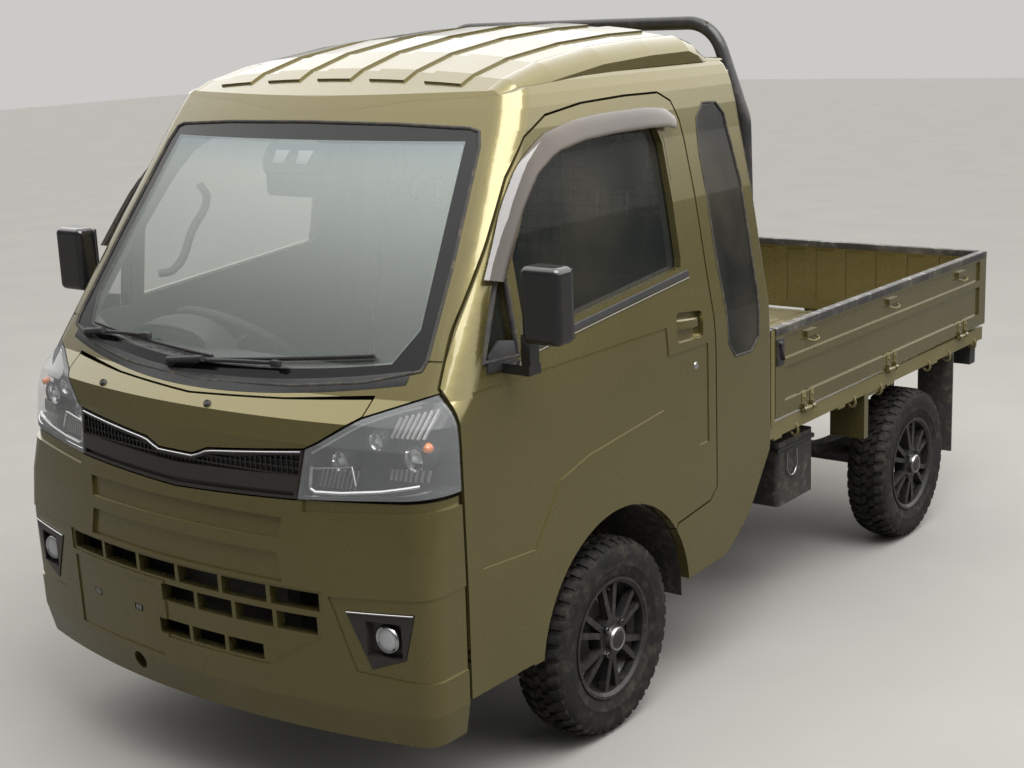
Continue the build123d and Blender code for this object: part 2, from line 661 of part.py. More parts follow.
grip = Torus(HANDWHEEL_R, GRIP_R)
boss = Pos(0, 0, -30) * (Cylinder(45, 40) - Cylinder(9 + STUB_CLEARANCE, 50))
wheel_hand = grip + boss
for turn in (90, 210, 330):
    arm = Pos(HANDWHEEL_R / 2 + 15, 0, -12) * Rot(0, -9, 0) * Box(HANDWHEEL_R - 35, 34, 12)
    wheel_hand = wheel_hand + Rot(0, 0, turn) * arm
save("steering_wheel", hub_plane * wheel_hand)

SEAT_IN = 115
SEAT_OUT = 600
SEAT_Z = PLATFORM_Z + SEAT_GAP
seat_base = rounded_prism([(SEAT_IN, at(-60)), (SEAT_OUT, at(-60)), (SEAT_OUT, at(420)),
                           (SEAT_IN, at(420))], 45, Plane.XY.offset(SEAT_Z), 125)
back_line = [(420 + SEAT_GAP, 690), (540, 690), (610, 1330), (520, 1345), (438, 810),
             (420 + SEAT_GAP, 785)]
seat_back = side_prism(back_line, SEAT_IN + 15, SEAT_OUT - 15)
seat_back = fillet(seat_back.edges().filter_by(Axis.X), 30)
head = side_prism([(530, 1375), (610, 1365), (622, 1540), (560, 1548)], SEAT_IN + 120, SEAT_OUT - 120)
head = fillet(head.edges().filter_by(Axis.X), 25)
for x in (SEAT_IN + 190, SEAT_OUT - 190):
    seat_back = seat_back + rod((x, at(565), 1300), (x, at(573), 1400), 6)
seat_back = seat_back - head
back_seat = seat_back + head
for name, flip in (("left", False), ("right", True)):
    pair = [mirrored(piece) if flip else piece for piece in (seat_base, back_seat)]
    save(f"seat_{name}", *pair)

GRID_HALF = 425
GRID_LOW = 1112
GRID_HIGH = 1568
GRID_BAR = 9
GRID_PITCH_X = 47
GRID_PITCH_Z = 40
GRID_S = CAB_REAR - CAB_WALL - 14
grid = block(-GRID_HALF, GRID_HALF, GRID_S, GRID_S + 4, GRID_LOW, GRID_HIGH)
columns = int((2 * GRID_HALF - 2 * GRID_BAR) / GRID_PITCH_X)
rows = int((GRID_HIGH - GRID_LOW - 2 * GRID_BAR) / GRID_PITCH_Z)
holes = [Pos((i - (columns - 1) / 2) * GRID_PITCH_X, 0, (j - (rows - 1) / 2) * GRID_PITCH_Z)
         * Box(GRID_PITCH_X - GRID_BAR, 20, GRID_PITCH_Z - GRID_BAR)
         for i in range(columns) for j in range(rows)]
middle = Pos(0, at(GRID_S), (GRID_LOW + GRID_HIGH) / 2)
grid = grid - [middle * hole for hole in holes]
for x in (-GRID_HALF + 10, GRID_HALF - 10):
    for z in (GRID_LOW + 10, GRID_HIGH - 10):
        grid = grid + block(x - 9, x + 9, GRID_S + 2, CAB_REAR - CAB_WALL, z - 9, z + 9)
save("rear_window_guard", grid)

# Frame
KICK_S = -318
REAR_RAIL_S = -150
# A rail's front run, kick-up and rear run, each seated against the next: station, z
RAIL_RUNS = [
    [(-812, 262), (KICK_S - SEAT_GAP, 262), (KICK_S - SEAT_GAP, 345), (-812, 345)],
    [(KICK_S, 262), (-290, 262), (REAR_RAIL_S, RAIL_TOP - RAIL_H), (REAR_RAIL_S, RAIL_TOP),
     (-250, RAIL_TOP), (KICK_S, 345)],
    [(REAR_RAIL_S + SEAT_GAP, RAIL_TOP - RAIL_H), (2440, RAIL_TOP - RAIL_H), (2440, RAIL_TOP),
     (REAR_RAIL_S + SEAT_GAP, RAIL_TOP)],
]
rails = [side_prism(run, RAIL_X - RAIL_W / 2, RAIL_X + RAIL_W / 2) for run in RAIL_RUNS]
CROSS_BARS = [(-735, 275, 335), (-300, 275, 335), (700, 520, 580), (1330, 520, 580), (1700, 520, 580),
              (2400, 520, 580)]
BAR_HALF = RAIL_X - RAIL_W / 2 - SEAT_GAP
bars = [block(-BAR_HALF, BAR_HALF, s - 30, s + 30, z0, z1) for s, z0, z1 in CROSS_BARS]
for i, s in ((1, -181), (2, 740)):
    rails[i] = rails[i] + block(RAIL_X - 30, RAIL_X + 30, s - 30, s + 30, RAIL_TOP, PLATFORM_Z - FLOOR_T)
tow_boss = rod((TOW_X, at(-765), TOW_Z), (TOW_X, at(-800), TOW_Z), 17)
tow_bore = rod((TOW_X, at(-772), TOW_Z), (TOW_X, at(-820), TOW_Z), TOW_R)
bars[0] = bars[0] + tow_boss - tow_bore
behind_panel = envelope(side=seat + PANEL_T + SEAT_GAP, front=seat + PANEL_T + SEAT_GAP, top=-10)
too_far = block(-500, 500, -950, -700, 200, 400) - behind_panel
rails[0] = rails[0] - too_far
bars[0] = bars[0] - too_far
save("chassis_frame", *rails, *[mirrored(rail) for rail in rails], *bars)

engine = block(-230, 230, 120, 600, 300, 590)
engine = fillet(engine.edges().filter_by(Axis.Y), 40)
for s in (200, 520):
    engine = engine + block(-300, 300, s - 30, s + 30, 530, 560)
save("engine_block", engine)

radiator = block(-260, 300, -770, -730, 335, 790)
save("radiator", radiator)

# Front suspension and steering
HUB_Z = TYRE_R
STUB_R = HUB_BORE_R - STUB_CLEARANCE
SUB_Z = 300
suspension = block(-360, 360, -40, 40, SUB_Z - 30, SUB_Z + 30)
for x in (-RAIL_X, RAIL_X):
    suspension = suspension + block(x - 30, x + 30, -40, 40, SUB_Z + 30, RAIL_TOP - RAIL_H)
BALL_Z = 190
STRUT_LOW = BALL_Z + 30
STRUT_TOP = 545
for side in (1, -1):
    for s in (0, -250):
        foot = (side * 335, at(s), 275)
        suspension = suspension + rod(foot, (side * KINGPIN_X, at(0), BALL_Z), 14)
    spring = Pos(side * KINGPIN_X, at(0), 560) * Cylinder(42, PLATFORM_Z - FLOOR_T - 560,
                                                      align=(Align.CENTER, Align.CENTER, Align.MIN))
    damper = Pos(side * KINGPIN_X, at(0), STRUT_TOP + SEAT_GAP) * Cylinder(
        12, 562 - STRUT_TOP, align=(Align.CENTER, Align.CENTER, Align.MIN))
    stud = Pos(side * KINGPIN_X, at(0), BALL_Z) * Cylinder(
        9, STRUT_LOW - SEAT_GAP - BALL_Z, align=(Align.CENTER, Align.CENTER, Align.MIN))
    suspension = suspension + spring + damper + stud
RACK_S = STEER_ARM
RACK_Z = 232
RACK_R = 8
housing = rod((-210, at(RACK_S), RACK_Z), (210, at(RACK_S), RACK_Z), 24)
housing = housing - rod((-300, at(RACK_S), RACK_Z), (300, at(RACK_S), RACK_Z), RACK_R + STUB_CLEARANCE)
for x in (-150, 150):
    housing = housing + block(x - 20, x + 20, 30, RACK_S - 12, SUB_Z - 50, SUB_Z - 30)
suspension = suspension + housing
save("front_suspension", suspension)

ARM_T = 14
ROD_GAP = 6
rack = rod((-KINGPIN_X + 12, at(RACK_S), RACK_Z), (KINGPIN_X - 12, at(RACK_S), RACK_Z), RACK_R)
for side in (1, -1):
    eye = Pos(side * KINGPIN_X, at(RACK_S), RACK_Z) * Cylinder(15, 22)
    rack = rack + eye
save("steering_rack", rack)


def knuckle():
    """Strut tube, hub carrier, brake disc, stub axle and steering arm of the left wheel."""
    strut = Pos(KINGPIN_X, at(0), STRUT_LOW) * Cylinder(
        STRUT_R, STRUT_TOP - STRUT_LOW, align=(Align.CENTER, Align.CENTER, Align.MIN))
    carrier = rod((KINGPIN_X, at(0), HUB_Z), (600, at(0), HUB_Z), 42)
    disc = rod((584, at(0), HUB_Z), (595, at(0), HUB_Z), 108)
    stub = rod((590, at(0), HUB_Z), (TRACK_HALF + 35, at(0), HUB_Z), STUB_R)
    low = RACK_Z + 11 + ROD_GAP
    arm = block(KINGPIN_X - 15, KINGPIN_X + 12, 0, STEER_ARM + 14, low, low + ARM_T)
    return strut + carrier + disc + stub + arm


for name, flip in (("left", False), ("right", True)):
    piece = knuckle()
    save(f"knuckle_{name}", mirrored(piece) if flip else piece)

# Rear axle
SPRING_X = 430
AXLE_R = 32
axle = rod((-600, at(WHEELBASE), HUB_Z), (600, at(WHEELBASE), HUB_Z), AXLE_R)
axle = axle + Pos(0, at(WHEELBASE), HUB_Z) * Sphere(105)
axle = axle + rod((0, at(WHEELBASE), HUB_Z), (0, at(WHEELBASE - 240), HUB_Z + 20), 45)
for side in (1, -1):
    axle = axle + rod((side * 575, at(WHEELBASE), HUB_Z), (side * 600, at(WHEELBASE), HUB_Z), 108)
    axle = axle + rod((side * 590, at(WHEELBASE), HUB_Z),
                      (side * (TRACK_HALF + 35), at(WHEELBASE), HUB_Z), STUB_R)
save("rear_axle", axle)

LEAF_REACH = 420
LEAF_T = 9
LEAF_RISE = 75
LEAF_STEPS = (1.0, 0.8, 0.6, 0.4)
LEAF_TOP = HUB_Z + 34 + LEAF_T * len(LEAF_STEPS)


def leaf_outline():
    """Side outline of the leaf pack: an arched top and a stepped underside."""
    half_top = [(k / 8, LEAF_TOP + LEAF_RISE * (k / 8) ** 2) for k in range(1, 9)]
    under = []
    for i, reach in enumerate(LEAF_STEPS):
        z = LEAF_TOP + LEAF_RISE * reach ** 2 - LEAF_T
        if i:
            under.append((reach, z - LEAF_T * (i - 1)))
        under.append((reach, z - LEAF_T * i))
    half = half_top + under
    middle = [(0, LEAF_TOP - LEAF_T * len(LEAF_STEPS))]
    other = [(-k, z) for k, z in reversed(half)]
    loop = [(0, LEAF_TOP)] + half + middle + other
    return [(WHEELBASE + k * LEAF_REACH, z) for k, z in loop]


springs = []
for side in (1, -1):
    x0, x1 = sorted((side * (SPRING_X - 28), side * (SPRING_X + 28)))
    leaf = side_prism(leaf_outline(), x0, x1)
    inner = RAIL_X + RAIL_W / 2
    a, b = sorted((side * inner, side * (SPRING_X + 20)))
    c, d = sorted((side * (SPRING_X - 20), side * (SPRING_X + 20)))
    for s in (WHEELBASE - LEAF_REACH + 14, WHEELBASE + LEAF_REACH - 14):
        leaf = leaf + block(c, d, s - 14, s + 14, LEAF_TOP + LEAF_RISE - 14, RAIL_TOP - 20)
        leaf = leaf + block(a, b, s - 14, s + 14, RAIL_TOP - 60, RAIL_TOP - 20)
    leaf = leaf + block(x0, x1, WHEELBASE - 45, WHEELBASE + 45, HUB_Z + 20, LEAF_TOP - 20)
    leaf = leaf - rod((-600, at(WHEELBASE), HUB_Z), (600, at(WHEELBASE), HUB_Z), AXLE_R + SEAT_GAP)
    springs.append(leaf)
save("leaf_springs", *springs)

tank = block(-290, -60, 900, 1500, 330, 500)
tank = fillet(tank.edges().filter_by(Axis.Y), 30)
for s in (980, 1420):
    tank = tank + block(-320, -280, s - 20, s + 20, 440, 510)
save("fuel_tank", tank)

battery = block(470, 640, 1040, 1280, 330, 540)
battery = fillet(battery.edges().filter_by(Axis.Z), 18)
battery = battery + block(360, 480, 1100, 1220, 520, 545)
save("battery_box", battery)

# Bed
EAR_R = 9
PIN_OFF = 4.5
GATE_OUT = HALF_WIDTH - EAR_R - PIN_OFF - 2
GATE_IN = GATE_OUT - GATE_T
GATE_LOW = BED_FLOOR_Z + 8
GATE_TOP = BED_FLOOR_Z + GATE_H
PIN_X = GATE_OUT + PIN_OFF
PIN_Z = BED_FLOOR_Z
BED_OUT = GATE_OUT - 6
EDGE_Z = BED_FLOOR_Z - FLOOR_STEP
HOOP_S = BED_FRONT + HEADBOARD_T + 32
GATE_FRONT = BED_FRONT + HEADBOARD_T + GATE_CLEAR
TAIL_OUT = BED_REAR - EAR_R - PIN_OFF
TAIL_IN = TAIL_OUT - GATE_T
TAIL_PIN_S = TAIL_OUT + PIN_OFF
BED_END = TAIL_OUT - 6
bed = block(-BED_OUT, BED_OUT, BED_FRONT, BED_END, BED_FLOOR_Z - BED_FLOOR_T, BED_FLOOR_Z)
bed = bed - block(-BED_OUT + 40, BED_OUT - 40, BED_FRONT + 40, TAIL_OUT - 40,
                  BED_FLOOR_Z - BED_FLOOR_T, BED_FLOOR_Z - 8)
inner_x = GATE_IN - 10
bed = bed - (block(-BED_OUT, BED_OUT, BED_FRONT, BED_END, EDGE_Z, BED_FLOOR_Z)
             - block(-inner_x, inner_x, HOOP_S + 36, TAIL_IN - 10, EDGE_Z, BED_FLOOR_Z))
for i in range(FLOOR_GROOVES):
    x = (i - (FLOOR_GROOVES - 1) / 2) * GROOVE_PITCH
    bed = bed - block(x - GROOVE_W / 2, x + GROOVE_W / 2, HOOP_S + 66, TAIL_OUT - 70, EDGE_Z,
                      BED_FLOOR_Z)
for s in (900, 1330, 1700, 2070, 2440):
    bed = bed + block(-BED_OUT, BED_OUT, s - 25, s + 25, RAIL_TOP, BED_FLOOR_Z - 8)
for side in (1, -1):
    x0, x1 = sorted((side * (BED_OUT - 30), side * BED_OUT))
    bed = bed + block(x0, x1, BED_FRONT, BED_END, 608, BED_FLOOR_Z - 8)
headboard = block(-GATE_OUT, GATE_OUT, BED_FRONT, BED_FRONT + HEADBOARD_T, BED_FLOOR_Z - 8, GATE_TOP)
bed = bed + headboard


def pin_row(places, length, along_x):
    """Hinge pins along a bed edge: each a pin with a thick middle that joins the edge."""
    total = None
    for place in places:
        if along_x:
            ends = (place - length / 2, place + length / 2)
            pin = rod((ends[0], at(TAIL_PIN_S), PIN_Z), (ends[1], at(TAIL_PIN_S), PIN_Z), 5)
            lug = block(place - 14, place + 14, TAIL_OUT - 20, TAIL_PIN_S, PIN_Z - 14, PIN_Z - 1)
            barrel = rod((place - 14, at(TAIL_PIN_S), PIN_Z), (place + 14, at(TAIL_PIN_S), PIN_Z), GATE_PIN_R)
        else:
            pin = rod((PIN_X, at(place - length / 2), PIN_Z), (PIN_X, at(place + length / 2), PIN_Z), 5)
            lug = block(BED_OUT - 20, PIN_X, place - 14, place + 14, PIN_Z - 14, PIN_Z - 1)
            barrel = rod((PIN_X, at(place - 14), PIN_Z), (PIN_X, at(place + 14), PIN_Z), GATE_PIN_R)
        piece = pin + lug + barrel
        total = piece if total is None else total + piece
    return total


SIDE_HINGES = (1080, 1690, 2300)
TAIL_HINGES = (-480, 0, 480)
side_pins = pin_row(SIDE_HINGES, 76, False)
bed = bed + side_pins + mirrored(side_pins) + pin_row(TAIL_HINGES, 76, True)
save("cargo_bed", bed)


def gate_ears(places, along_x):
    """Pairs of bored ears on a gate's lower edge, round its hinge pins."""
    total = None
    for place in places:
        for off in (-27, 27):
            low, high = place + off - 9, place + off + 9
            if along_x:
                ear = rod((low, at(TAIL_PIN_S), PIN_Z), (high, at(TAIL_PIN_S), PIN_Z), EAR_R)
                ear = ear + block(low, high, TAIL_OUT - 6, TAIL_PIN_S + 4, PIN_Z, GATE_LOW + 12)
                ear = ear - rod((low - 5, at(TAIL_PIN_S), PIN_Z), (high + 5, at(TAIL_PIN_S), PIN_Z), 5.05)
            else:
                ear = rod((PIN_X, at(low), PIN_Z), (PIN_X, at(high), PIN_Z), EAR_R)
                ear = ear + block(GATE_OUT - 6, PIN_X + 4, low, high, PIN_Z, GATE_LOW + 12)
                ear = ear - rod((PIN_X, at(low - 5), PIN_Z), (PIN_X, at(high + 5), PIN_Z), 5.05)
            total = ear if total is None else total + ear
    return total


ROPE_HOOKS = (1110, 1700, 2290)
gate = block(GATE_IN, GATE_OUT, GATE_FRONT, TAIL_OUT, GATE_LOW, GATE_TOP)
gate = gate - block(GATE_OUT - 8, GATE_OUT + 1, GATE_FRONT + 60, TAIL_OUT - 60, GATE_LOW + 45, GATE_LOW + 150)
gate = gate - block(GATE_OUT - 8, GATE_OUT + 1, GATE_FRONT + 60, TAIL_OUT - 60, GATE_LOW + 175, GATE_TOP - 30)
for s in ROPE_HOOKS:
    gate = gate + block(GATE_OUT - 10, GATE_OUT + 2, s - 34, s + 34, GATE_TOP - 62, GATE_TOP - 42)
gate = gate + gate_ears(SIDE_HINGES, False)
save("gate_left", gate)
save("gate_right", mirrored(gate))

TAIL_HALF = GATE_IN - GATE_CLEAR
TAIL_RIBS = 10
TAIL_RIB_PITCH = 130
tail = block(-TAIL_HALF, TAIL_HALF, TAIL_IN, TAIL_OUT, GATE_LOW, GATE_TOP)
tail = tail - block(-TAIL_HALF + 60, TAIL_HALF - 60, TAIL_OUT - 8, TAIL_OUT + 1, GATE_LOW + 45,
                    GATE_LOW + 150)
for i in range(TAIL_RIBS):
    x = (i - (TAIL_RIBS - 1) / 2) * TAIL_RIB_PITCH
    tail = tail - block(x - 40, x + 40, TAIL_IN - 1, TAIL_IN + 4, GATE_LOW + 30, GATE_TOP - 30)
tail = tail + gate_ears(TAIL_HINGES, True)
save("gate_tail", tail)

hoop_points = [(-625, at(HOOP_S), EDGE_Z), (-605, at(HOOP_S), 1560), (-500, at(HOOP_S), 1842),
               (500, at(HOOP_S), 1842), (605, at(HOOP_S), 1560), (625, at(HOOP_S), EDGE_Z)]
hoop = bent_tube(hoop_points, 20, 120)
for side in (1, -1):
    hoop = hoop + Pos(side * 625, at(HOOP_S), EDGE_Z) * Box(
        90, 60, 6, align=(Align.CENTER, Align.CENTER, Align.MIN))
hoop = hoop & block(-900, 900, 0, 1500, EDGE_Z, 2000)
save("guard_hoop", hoop)

# Guards and lamps under the bed
guard = block(590, 715, 1500, 1530, 455, 608) + block(590, 715, 1500, 1660, 596, 608)
flap = block(580, 715, 2240, 2248, 230, 600) + block(580, 715, 2180, 2248, 600, 608)
save("front_mudguards", guard, mirrored(guard))
save("mud_flaps", flap, mirrored(flap))
lamp_box = block(520, 700, 2440, 2490, 520, RAIL_TOP)
save("tail_lamps", lamp_box, mirrored(lamp_box))

# Wheels: radius, x from the wheel's middle, outer side positive
RIM_LINE = [
    (RIM_FLANGE_R, 65), (RIM_FLANGE_R, 60), (154, 58), (RIM_R, 30), (138, 15), (138, -25),
    (RIM_R, -45), (154, -58), (RIM_FLANGE_R, -60), (RIM_FLANGE_R, -65), (158, -65), (149, -60),
    (147, -46), (133, -26), (133, 16), (147, 32), (149, 58), (158, 65),
]
TYRE_LINE = [
    (154.4, 45), (154.4, 57.5), (166, 60), (182, 67), (205, 72), (240, 70), (264, 54), (TYRE_R, 40),
    (TYRE_R, -40), (264, -54), (240, -70), (205, -72), (182, -67), (166, -60), (154.4, -57.5),
    (154.4, -45), (200, -60), (235, -60), (256, 0), (235, 60), (200, 60),
]


def alloy_wheel():
    """Spoked wheel, centred at the origin with its outer side at +x."""
    wheel = ring_x(RIM_LINE, 0, 0)
    wheel = Pos(0, -at(0), 0) * wheel
    hub = Rot(0, 90, 0) * Pos(0, 0, 20) * Cylinder(56, 40, align=(Align.CENTER, Align.CENTER, Align.MIN))
    cap = Rot(0, 90, 0) * Pos(0, 0, 60) * Cone(HUB_CAP_R + 4, HUB_CAP_R - 3, 18,
                                              align=(Align.CENTER, Align.CENTER, Align.MIN))
    wheel = wheel + hub + cap
    for i in range(SPOKES // 2):
        for side in (1, -1):
            bar = Pos(0, 0, SPOKE_ROOT) * Rot(side * SPOKE_SPREAD, 0, 0) * side_spoke(side)
            wheel = wheel + Rot(720 / SPOKES * i, 0, 0) * bar
    bore = Rot(0, 90, 0) * Cylinder(HUB_BORE_R, 90)
    return wheel - bore


def side_spoke(side):
    """One arm of a forked spoke, standing on its root along +z, a little dished."""
    line = [(34, 0), (34, RIM_R - 2 - SPOKE_ROOT), (54, RIM_R - 2 - SPOKE_ROOT), (60, 0)]
    face = make_face(Polyline(*[(x, z) for x, z in line], close=True))
    bar = extrude(Plane.XZ.offset(-SPOKE_W / 2) * face, amount=SPOKE_W)
    return Pos(0, -side * SPOKE_W / 3, 0) * bar


wheel_shape = alloy_wheel()
tyre_shape = Pos(0, -at(0), 0) * ring_x(TYRE_LINE, 0, 0)
for name, side, s in (("front_left", 1, 0), ("front_right", -1, 0),
                      ("rear_left", 1, WHEELBASE), ("rear_right", -1, WHEELBASE)):
    place = Pos(side * TRACK_HALF, at(s), HUB_Z)
    w = wheel_shape if side > 0 else mirrored(wheel_shape)
    t = tyre_shape if side > 0 else mirrored(tyre_shape)
    save(f"wheel_{name}", place * w)
    save(f"tyre_{name}", place * t)
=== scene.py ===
# %% [markdown]
# # A small pickup in a plain studio
#
# The solid parts of the vehicle are already modelled and come in as a frame that is never moved. This
# lesson gives every surface its finish and adds what a maker would fit last: tyres, lamps, wipers,
# trim, seats and fittings. Lengths are metres, +X is the vehicle's left, -Y its front and +Z up.

# %% Load the frame
import bmesh
import bpy
import json
from math import cos, exp, pi, radians, sin
from mathutils import Matrix, Vector


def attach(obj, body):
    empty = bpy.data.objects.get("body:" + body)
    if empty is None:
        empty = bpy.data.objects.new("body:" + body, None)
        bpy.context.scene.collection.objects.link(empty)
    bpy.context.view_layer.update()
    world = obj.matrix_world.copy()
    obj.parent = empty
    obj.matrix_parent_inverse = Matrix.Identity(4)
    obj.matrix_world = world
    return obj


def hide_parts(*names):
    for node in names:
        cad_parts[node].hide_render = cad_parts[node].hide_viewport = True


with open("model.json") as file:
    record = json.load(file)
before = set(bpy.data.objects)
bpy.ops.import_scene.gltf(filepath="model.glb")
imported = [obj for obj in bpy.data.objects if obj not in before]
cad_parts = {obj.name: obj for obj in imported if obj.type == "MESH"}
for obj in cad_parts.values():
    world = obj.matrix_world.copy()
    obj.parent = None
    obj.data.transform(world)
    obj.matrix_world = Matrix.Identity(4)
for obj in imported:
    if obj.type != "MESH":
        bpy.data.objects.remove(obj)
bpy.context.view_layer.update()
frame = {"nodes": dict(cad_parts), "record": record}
nodes = frame["nodes"]

# %% [markdown]
# Sizes along the vehicle are easiest to read from the front axle, so one function turns a station aft of
# that axle into y. The other values are the few real sizes that many pieces share.

# %% Shared sizes
FRONT_AXLE_Y = -0.8375
WHEELBASE = 1.900
TRACK_HALF = 0.650
TYRE_R = 0.2685
SEAT_MID = 0.3575
RIM_X = 0.150


def back(station):
    """y of a station measured aft of the front axle."""
    return FRONT_AXLE_Y + station


# %% [markdown]
# The camera stands where the photographer stood. Its place, direction and roll were worked out once from
# the vehicle's known length, width and wheelbase, so the render and the photograph can be laid side by side.

# %% Camera
PHOTO_WIDTH_PX = 1024
FOCAL_PX = 1591.9
SENSOR_MM = 36
CAMERA_AT = Vector((2.966, back(-3.262), 1.909))
CAMERA_AZIMUTH = radians(38.14)
CAMERA_ELEVATION = radians(13.32)
CAMERA_ROLL = radians(-2.3)

bpy.ops.object.camera_add(location=CAMERA_AT)
camera = bpy.context.object
camera.name = "photo_camera"
away = Vector((sin(CAMERA_AZIMUTH) * cos(CAMERA_ELEVATION),
               -cos(CAMERA_AZIMUTH) * cos(CAMERA_ELEVATION), sin(CAMERA_ELEVATION)))
level_right = Vector((0, 0, 1)).cross(away).normalized()
level_up = away.cross(level_right)
camera_x = level_right * cos(CAMERA_ROLL) + level_up * sin(CAMERA_ROLL)
camera_y = level_up * cos(CAMERA_ROLL) - level_right * sin(CAMERA_ROLL)
turn = Matrix((camera_x, camera_y, away)).transposed().to_4x4()
camera.matrix_world = Matrix.Translation(CAMERA_AT) @ turn
camera.data.lens = FOCAL_PX / PHOTO_WIDTH_PX * SENSOR_MM
camera.data.sensor_width = SENSOR_MM
camera.data.clip_end = 200
bpy.context.scene.camera = camera
print("camera lens", round(camera.data.lens, 2), "mm")

# %% [markdown]
# A material is a small sum: a mask times a colour, one minus a mask, and so on. The first class below lets
# that sum be written as plain arithmetic. Each operator adds one Math node and hands back its result. The
# second class adds any other node, and the third holds a material's shader.


# %% Shader arithmetic
class Signal:
    """A socket's value. Arithmetic on it adds Math nodes."""

    def __init__(self, graph, socket):
        self.graph = graph
        self.socket = socket

    def math(self, operation, *values):
        return self.graph.node("ShaderNodeMath", {"operation": operation}, dict(enumerate(values)))

    def __add__(self, other):
        return self.math("ADD", self, other)

    def __sub__(self, other):
        return self.math("SUBTRACT", self, other)

    def __rsub__(self, other):
        return self.math("SUBTRACT", other, self)

    def __mul__(self, other):
        return self.math("MULTIPLY", self, other)

    __radd__ = __add__
    __rmul__ = __mul__

    def most(self, other):
        return self.math("MAXIMUM", self, other)

    def least(self, other):
        return self.math("MINIMUM", self, other)

    def size(self):
        return self.math("ABSOLUTE", self)

    def power(self, other):
        return self.math("POWER", self, other)

    def ramp(self, low, high):
        """0 below low, 1 above high, smooth between them."""
        span = dict(enumerate((self, low, high, 0.0, 1.0)))
        return self.graph.node("ShaderNodeMapRange", {"interpolation_type": "SMOOTHSTEP"}, span)


class Graph:
    """The nodes of a material or of the sky, with the place or direction as x, y and z."""

    def __init__(self, tree, coordinates="Object"):
        self.tree = tree
        self.where = self.node("ShaderNodeTexCoord", out=coordinates)
        self.x, self.y, self.z = (self.part(self.where, axis) for axis in "XYZ")

    def node(self, kind, settings=None, values=None, out=0):
        """Any node: its settings are set first, then its sockets; its output comes back."""
        node = self.tree.nodes.new(kind)
        for name, value in (settings or {}).items():
            setattr(node, name, value)
        for name, value in (values or {}).items():
            self.plug(node.inputs[name], value)
        return Signal(self, node.outputs[out])

    def plug(self, socket, value):
        """Give a socket a constant or a link."""
        if isinstance(value, Signal):
            self.tree.links.new(value.socket, socket)
        elif isinstance(value, (tuple, list)) and len(value) == 3 and socket.type == "RGBA":
            socket.default_value = (*value, 1)
        else:
            socket.default_value = value

    def part(self, vector, axis):
        return self.node("ShaderNodeSeparateXYZ", values={0: vector}, out=axis)

    def noise(self, scale, detail=3, stretch=(1, 1, 1), rough=0.5):
        """Cloudy values from 0 to 1, with so many waves to a metre."""
        spot = self.node("ShaderNodeMapping", values={"Vector": self.where, "Scale": stretch})
        sockets = {"Vector": spot, "Scale": scale, "Detail": detail, "Roughness": rough}
        return self.node("ShaderNodeTexNoise", values=sockets)

    def cells(self, scale):
        """Small cells, so many to a metre; the value grows from each cell's middle."""
        return self.node("ShaderNodeTexVoronoi", values={"Vector": self.where, "Scale": scale})

    def blend(self, share, first, second):
        """A colour between two, by a share from 0 to 1."""
        return self.node("ShaderNodeMix", {"data_type": "RGBA"}, {0: share, 6: first, 7: second}, out=2)


class Finish(Graph):
    """A material round one Principled shader."""

    def __init__(self, name, **constants):
        self.material = bpy.data.materials.new(name)
        self.material.use_nodes = True
        self.shader = self.material.node_tree.nodes["Principled BSDF"]
        super().__init__(self.material.node_tree)
        self.set(**constants)

    def set(self, **values):
        for name, value in values.items():
            self.plug(self.shader.inputs[name.replace("_", " ")], value)

    def bump(self, height, strength, depth):
        values = {"Height": height, "Strength": strength, "Distance": depth}
        self.set(Normal=self.node("ShaderNodeBump", values=values))


# %% [markdown]
# The paint is an olive metallic under clear lacquer. Real metallic paint is never one tone: its flakes
# glitter, road dust gathers near the sills, and years of washing leave fine marks. The flakes are tiny
# cells, the dust follows height, and the lacquer is the shader's own coat.

# %% Body paint
OLIVE = (0.158, 0.132, 0.046)
OLIVE_LIGHT = (0.215, 0.181, 0.068)
DUST = (0.27, 0.225, 0.15)
UNDERCOAT = (0.020, 0.019, 0.018)
CAB_TRIM = (0.085, 0.086, 0.086)
HEADLINER = (0.40, 0.40, 0.385)
CAB_HALF, WAIST_Z, SIDE_LEAN = 0.732, 1.05, 0.178
NOSE_STATION, NOSE_BOW, SCREEN_LEAN = -0.735, 0.2, 0.725
REAR_WALL, LINING_Z = 0.800, 1.50
UNDERSIDE = (-0.60, 0.90, 0.706, 0.655)
FOOTWELL = (-0.565, -0.345, 0.690, 0.370)
EDGE = 0.003


def cab_inside(coat):
    """Three masks on the cab and doors: the trimmed inside, the headliner and the black underside."""
    above_waist = (coat.z - WAIST_Z).most(0.0)
    wall = CAB_HALF - above_waist * SIDE_LEAN - coat.x.size()
    nose = above_waist * SCREEN_LEAN + back(NOSE_STATION) + coat.x * coat.x * NOSE_BOW
    up = coat.part(coat.node("ShaderNodeTexCoord", out="Normal"), "Z")
    inside = wall.ramp(0.026, 0.029) * (coat.y - nose).ramp(0.030, 0.034)
    inside = inside * (back(REAR_WALL) - coat.y).ramp(0.0, EDGE)
    inside = inside * (1 - coat.z.ramp(LINING_Z, 1.56) * up.ramp(-0.35, -0.15))
    lining = inside * (0.0 - up).ramp(0.3, 0.5) * coat.z.ramp(LINING_Z, 1.52)
    front, rear, half, top = UNDERSIDE
    under = (back(rear) - coat.y).ramp(0.0, EDGE) * (coat.y - back(front)).ramp(0.0, EDGE)
    under = under * (half - coat.x.size()).ramp(0.0, EDGE) * (top - coat.z).ramp(0.0, EDGE)
    front, rear, half, bottom = FOOTWELL
    foot = (coat.y - back(front)).ramp(0.0, 0.002) * (back(rear) - coat.y).ramp(0.0, 0.002)
    foot = foot * (coat.z - bottom).ramp(0.0, EDGE) * (half - coat.x.size()).ramp(0.0, EDGE)
    return inside, lining, under * (1 - foot)


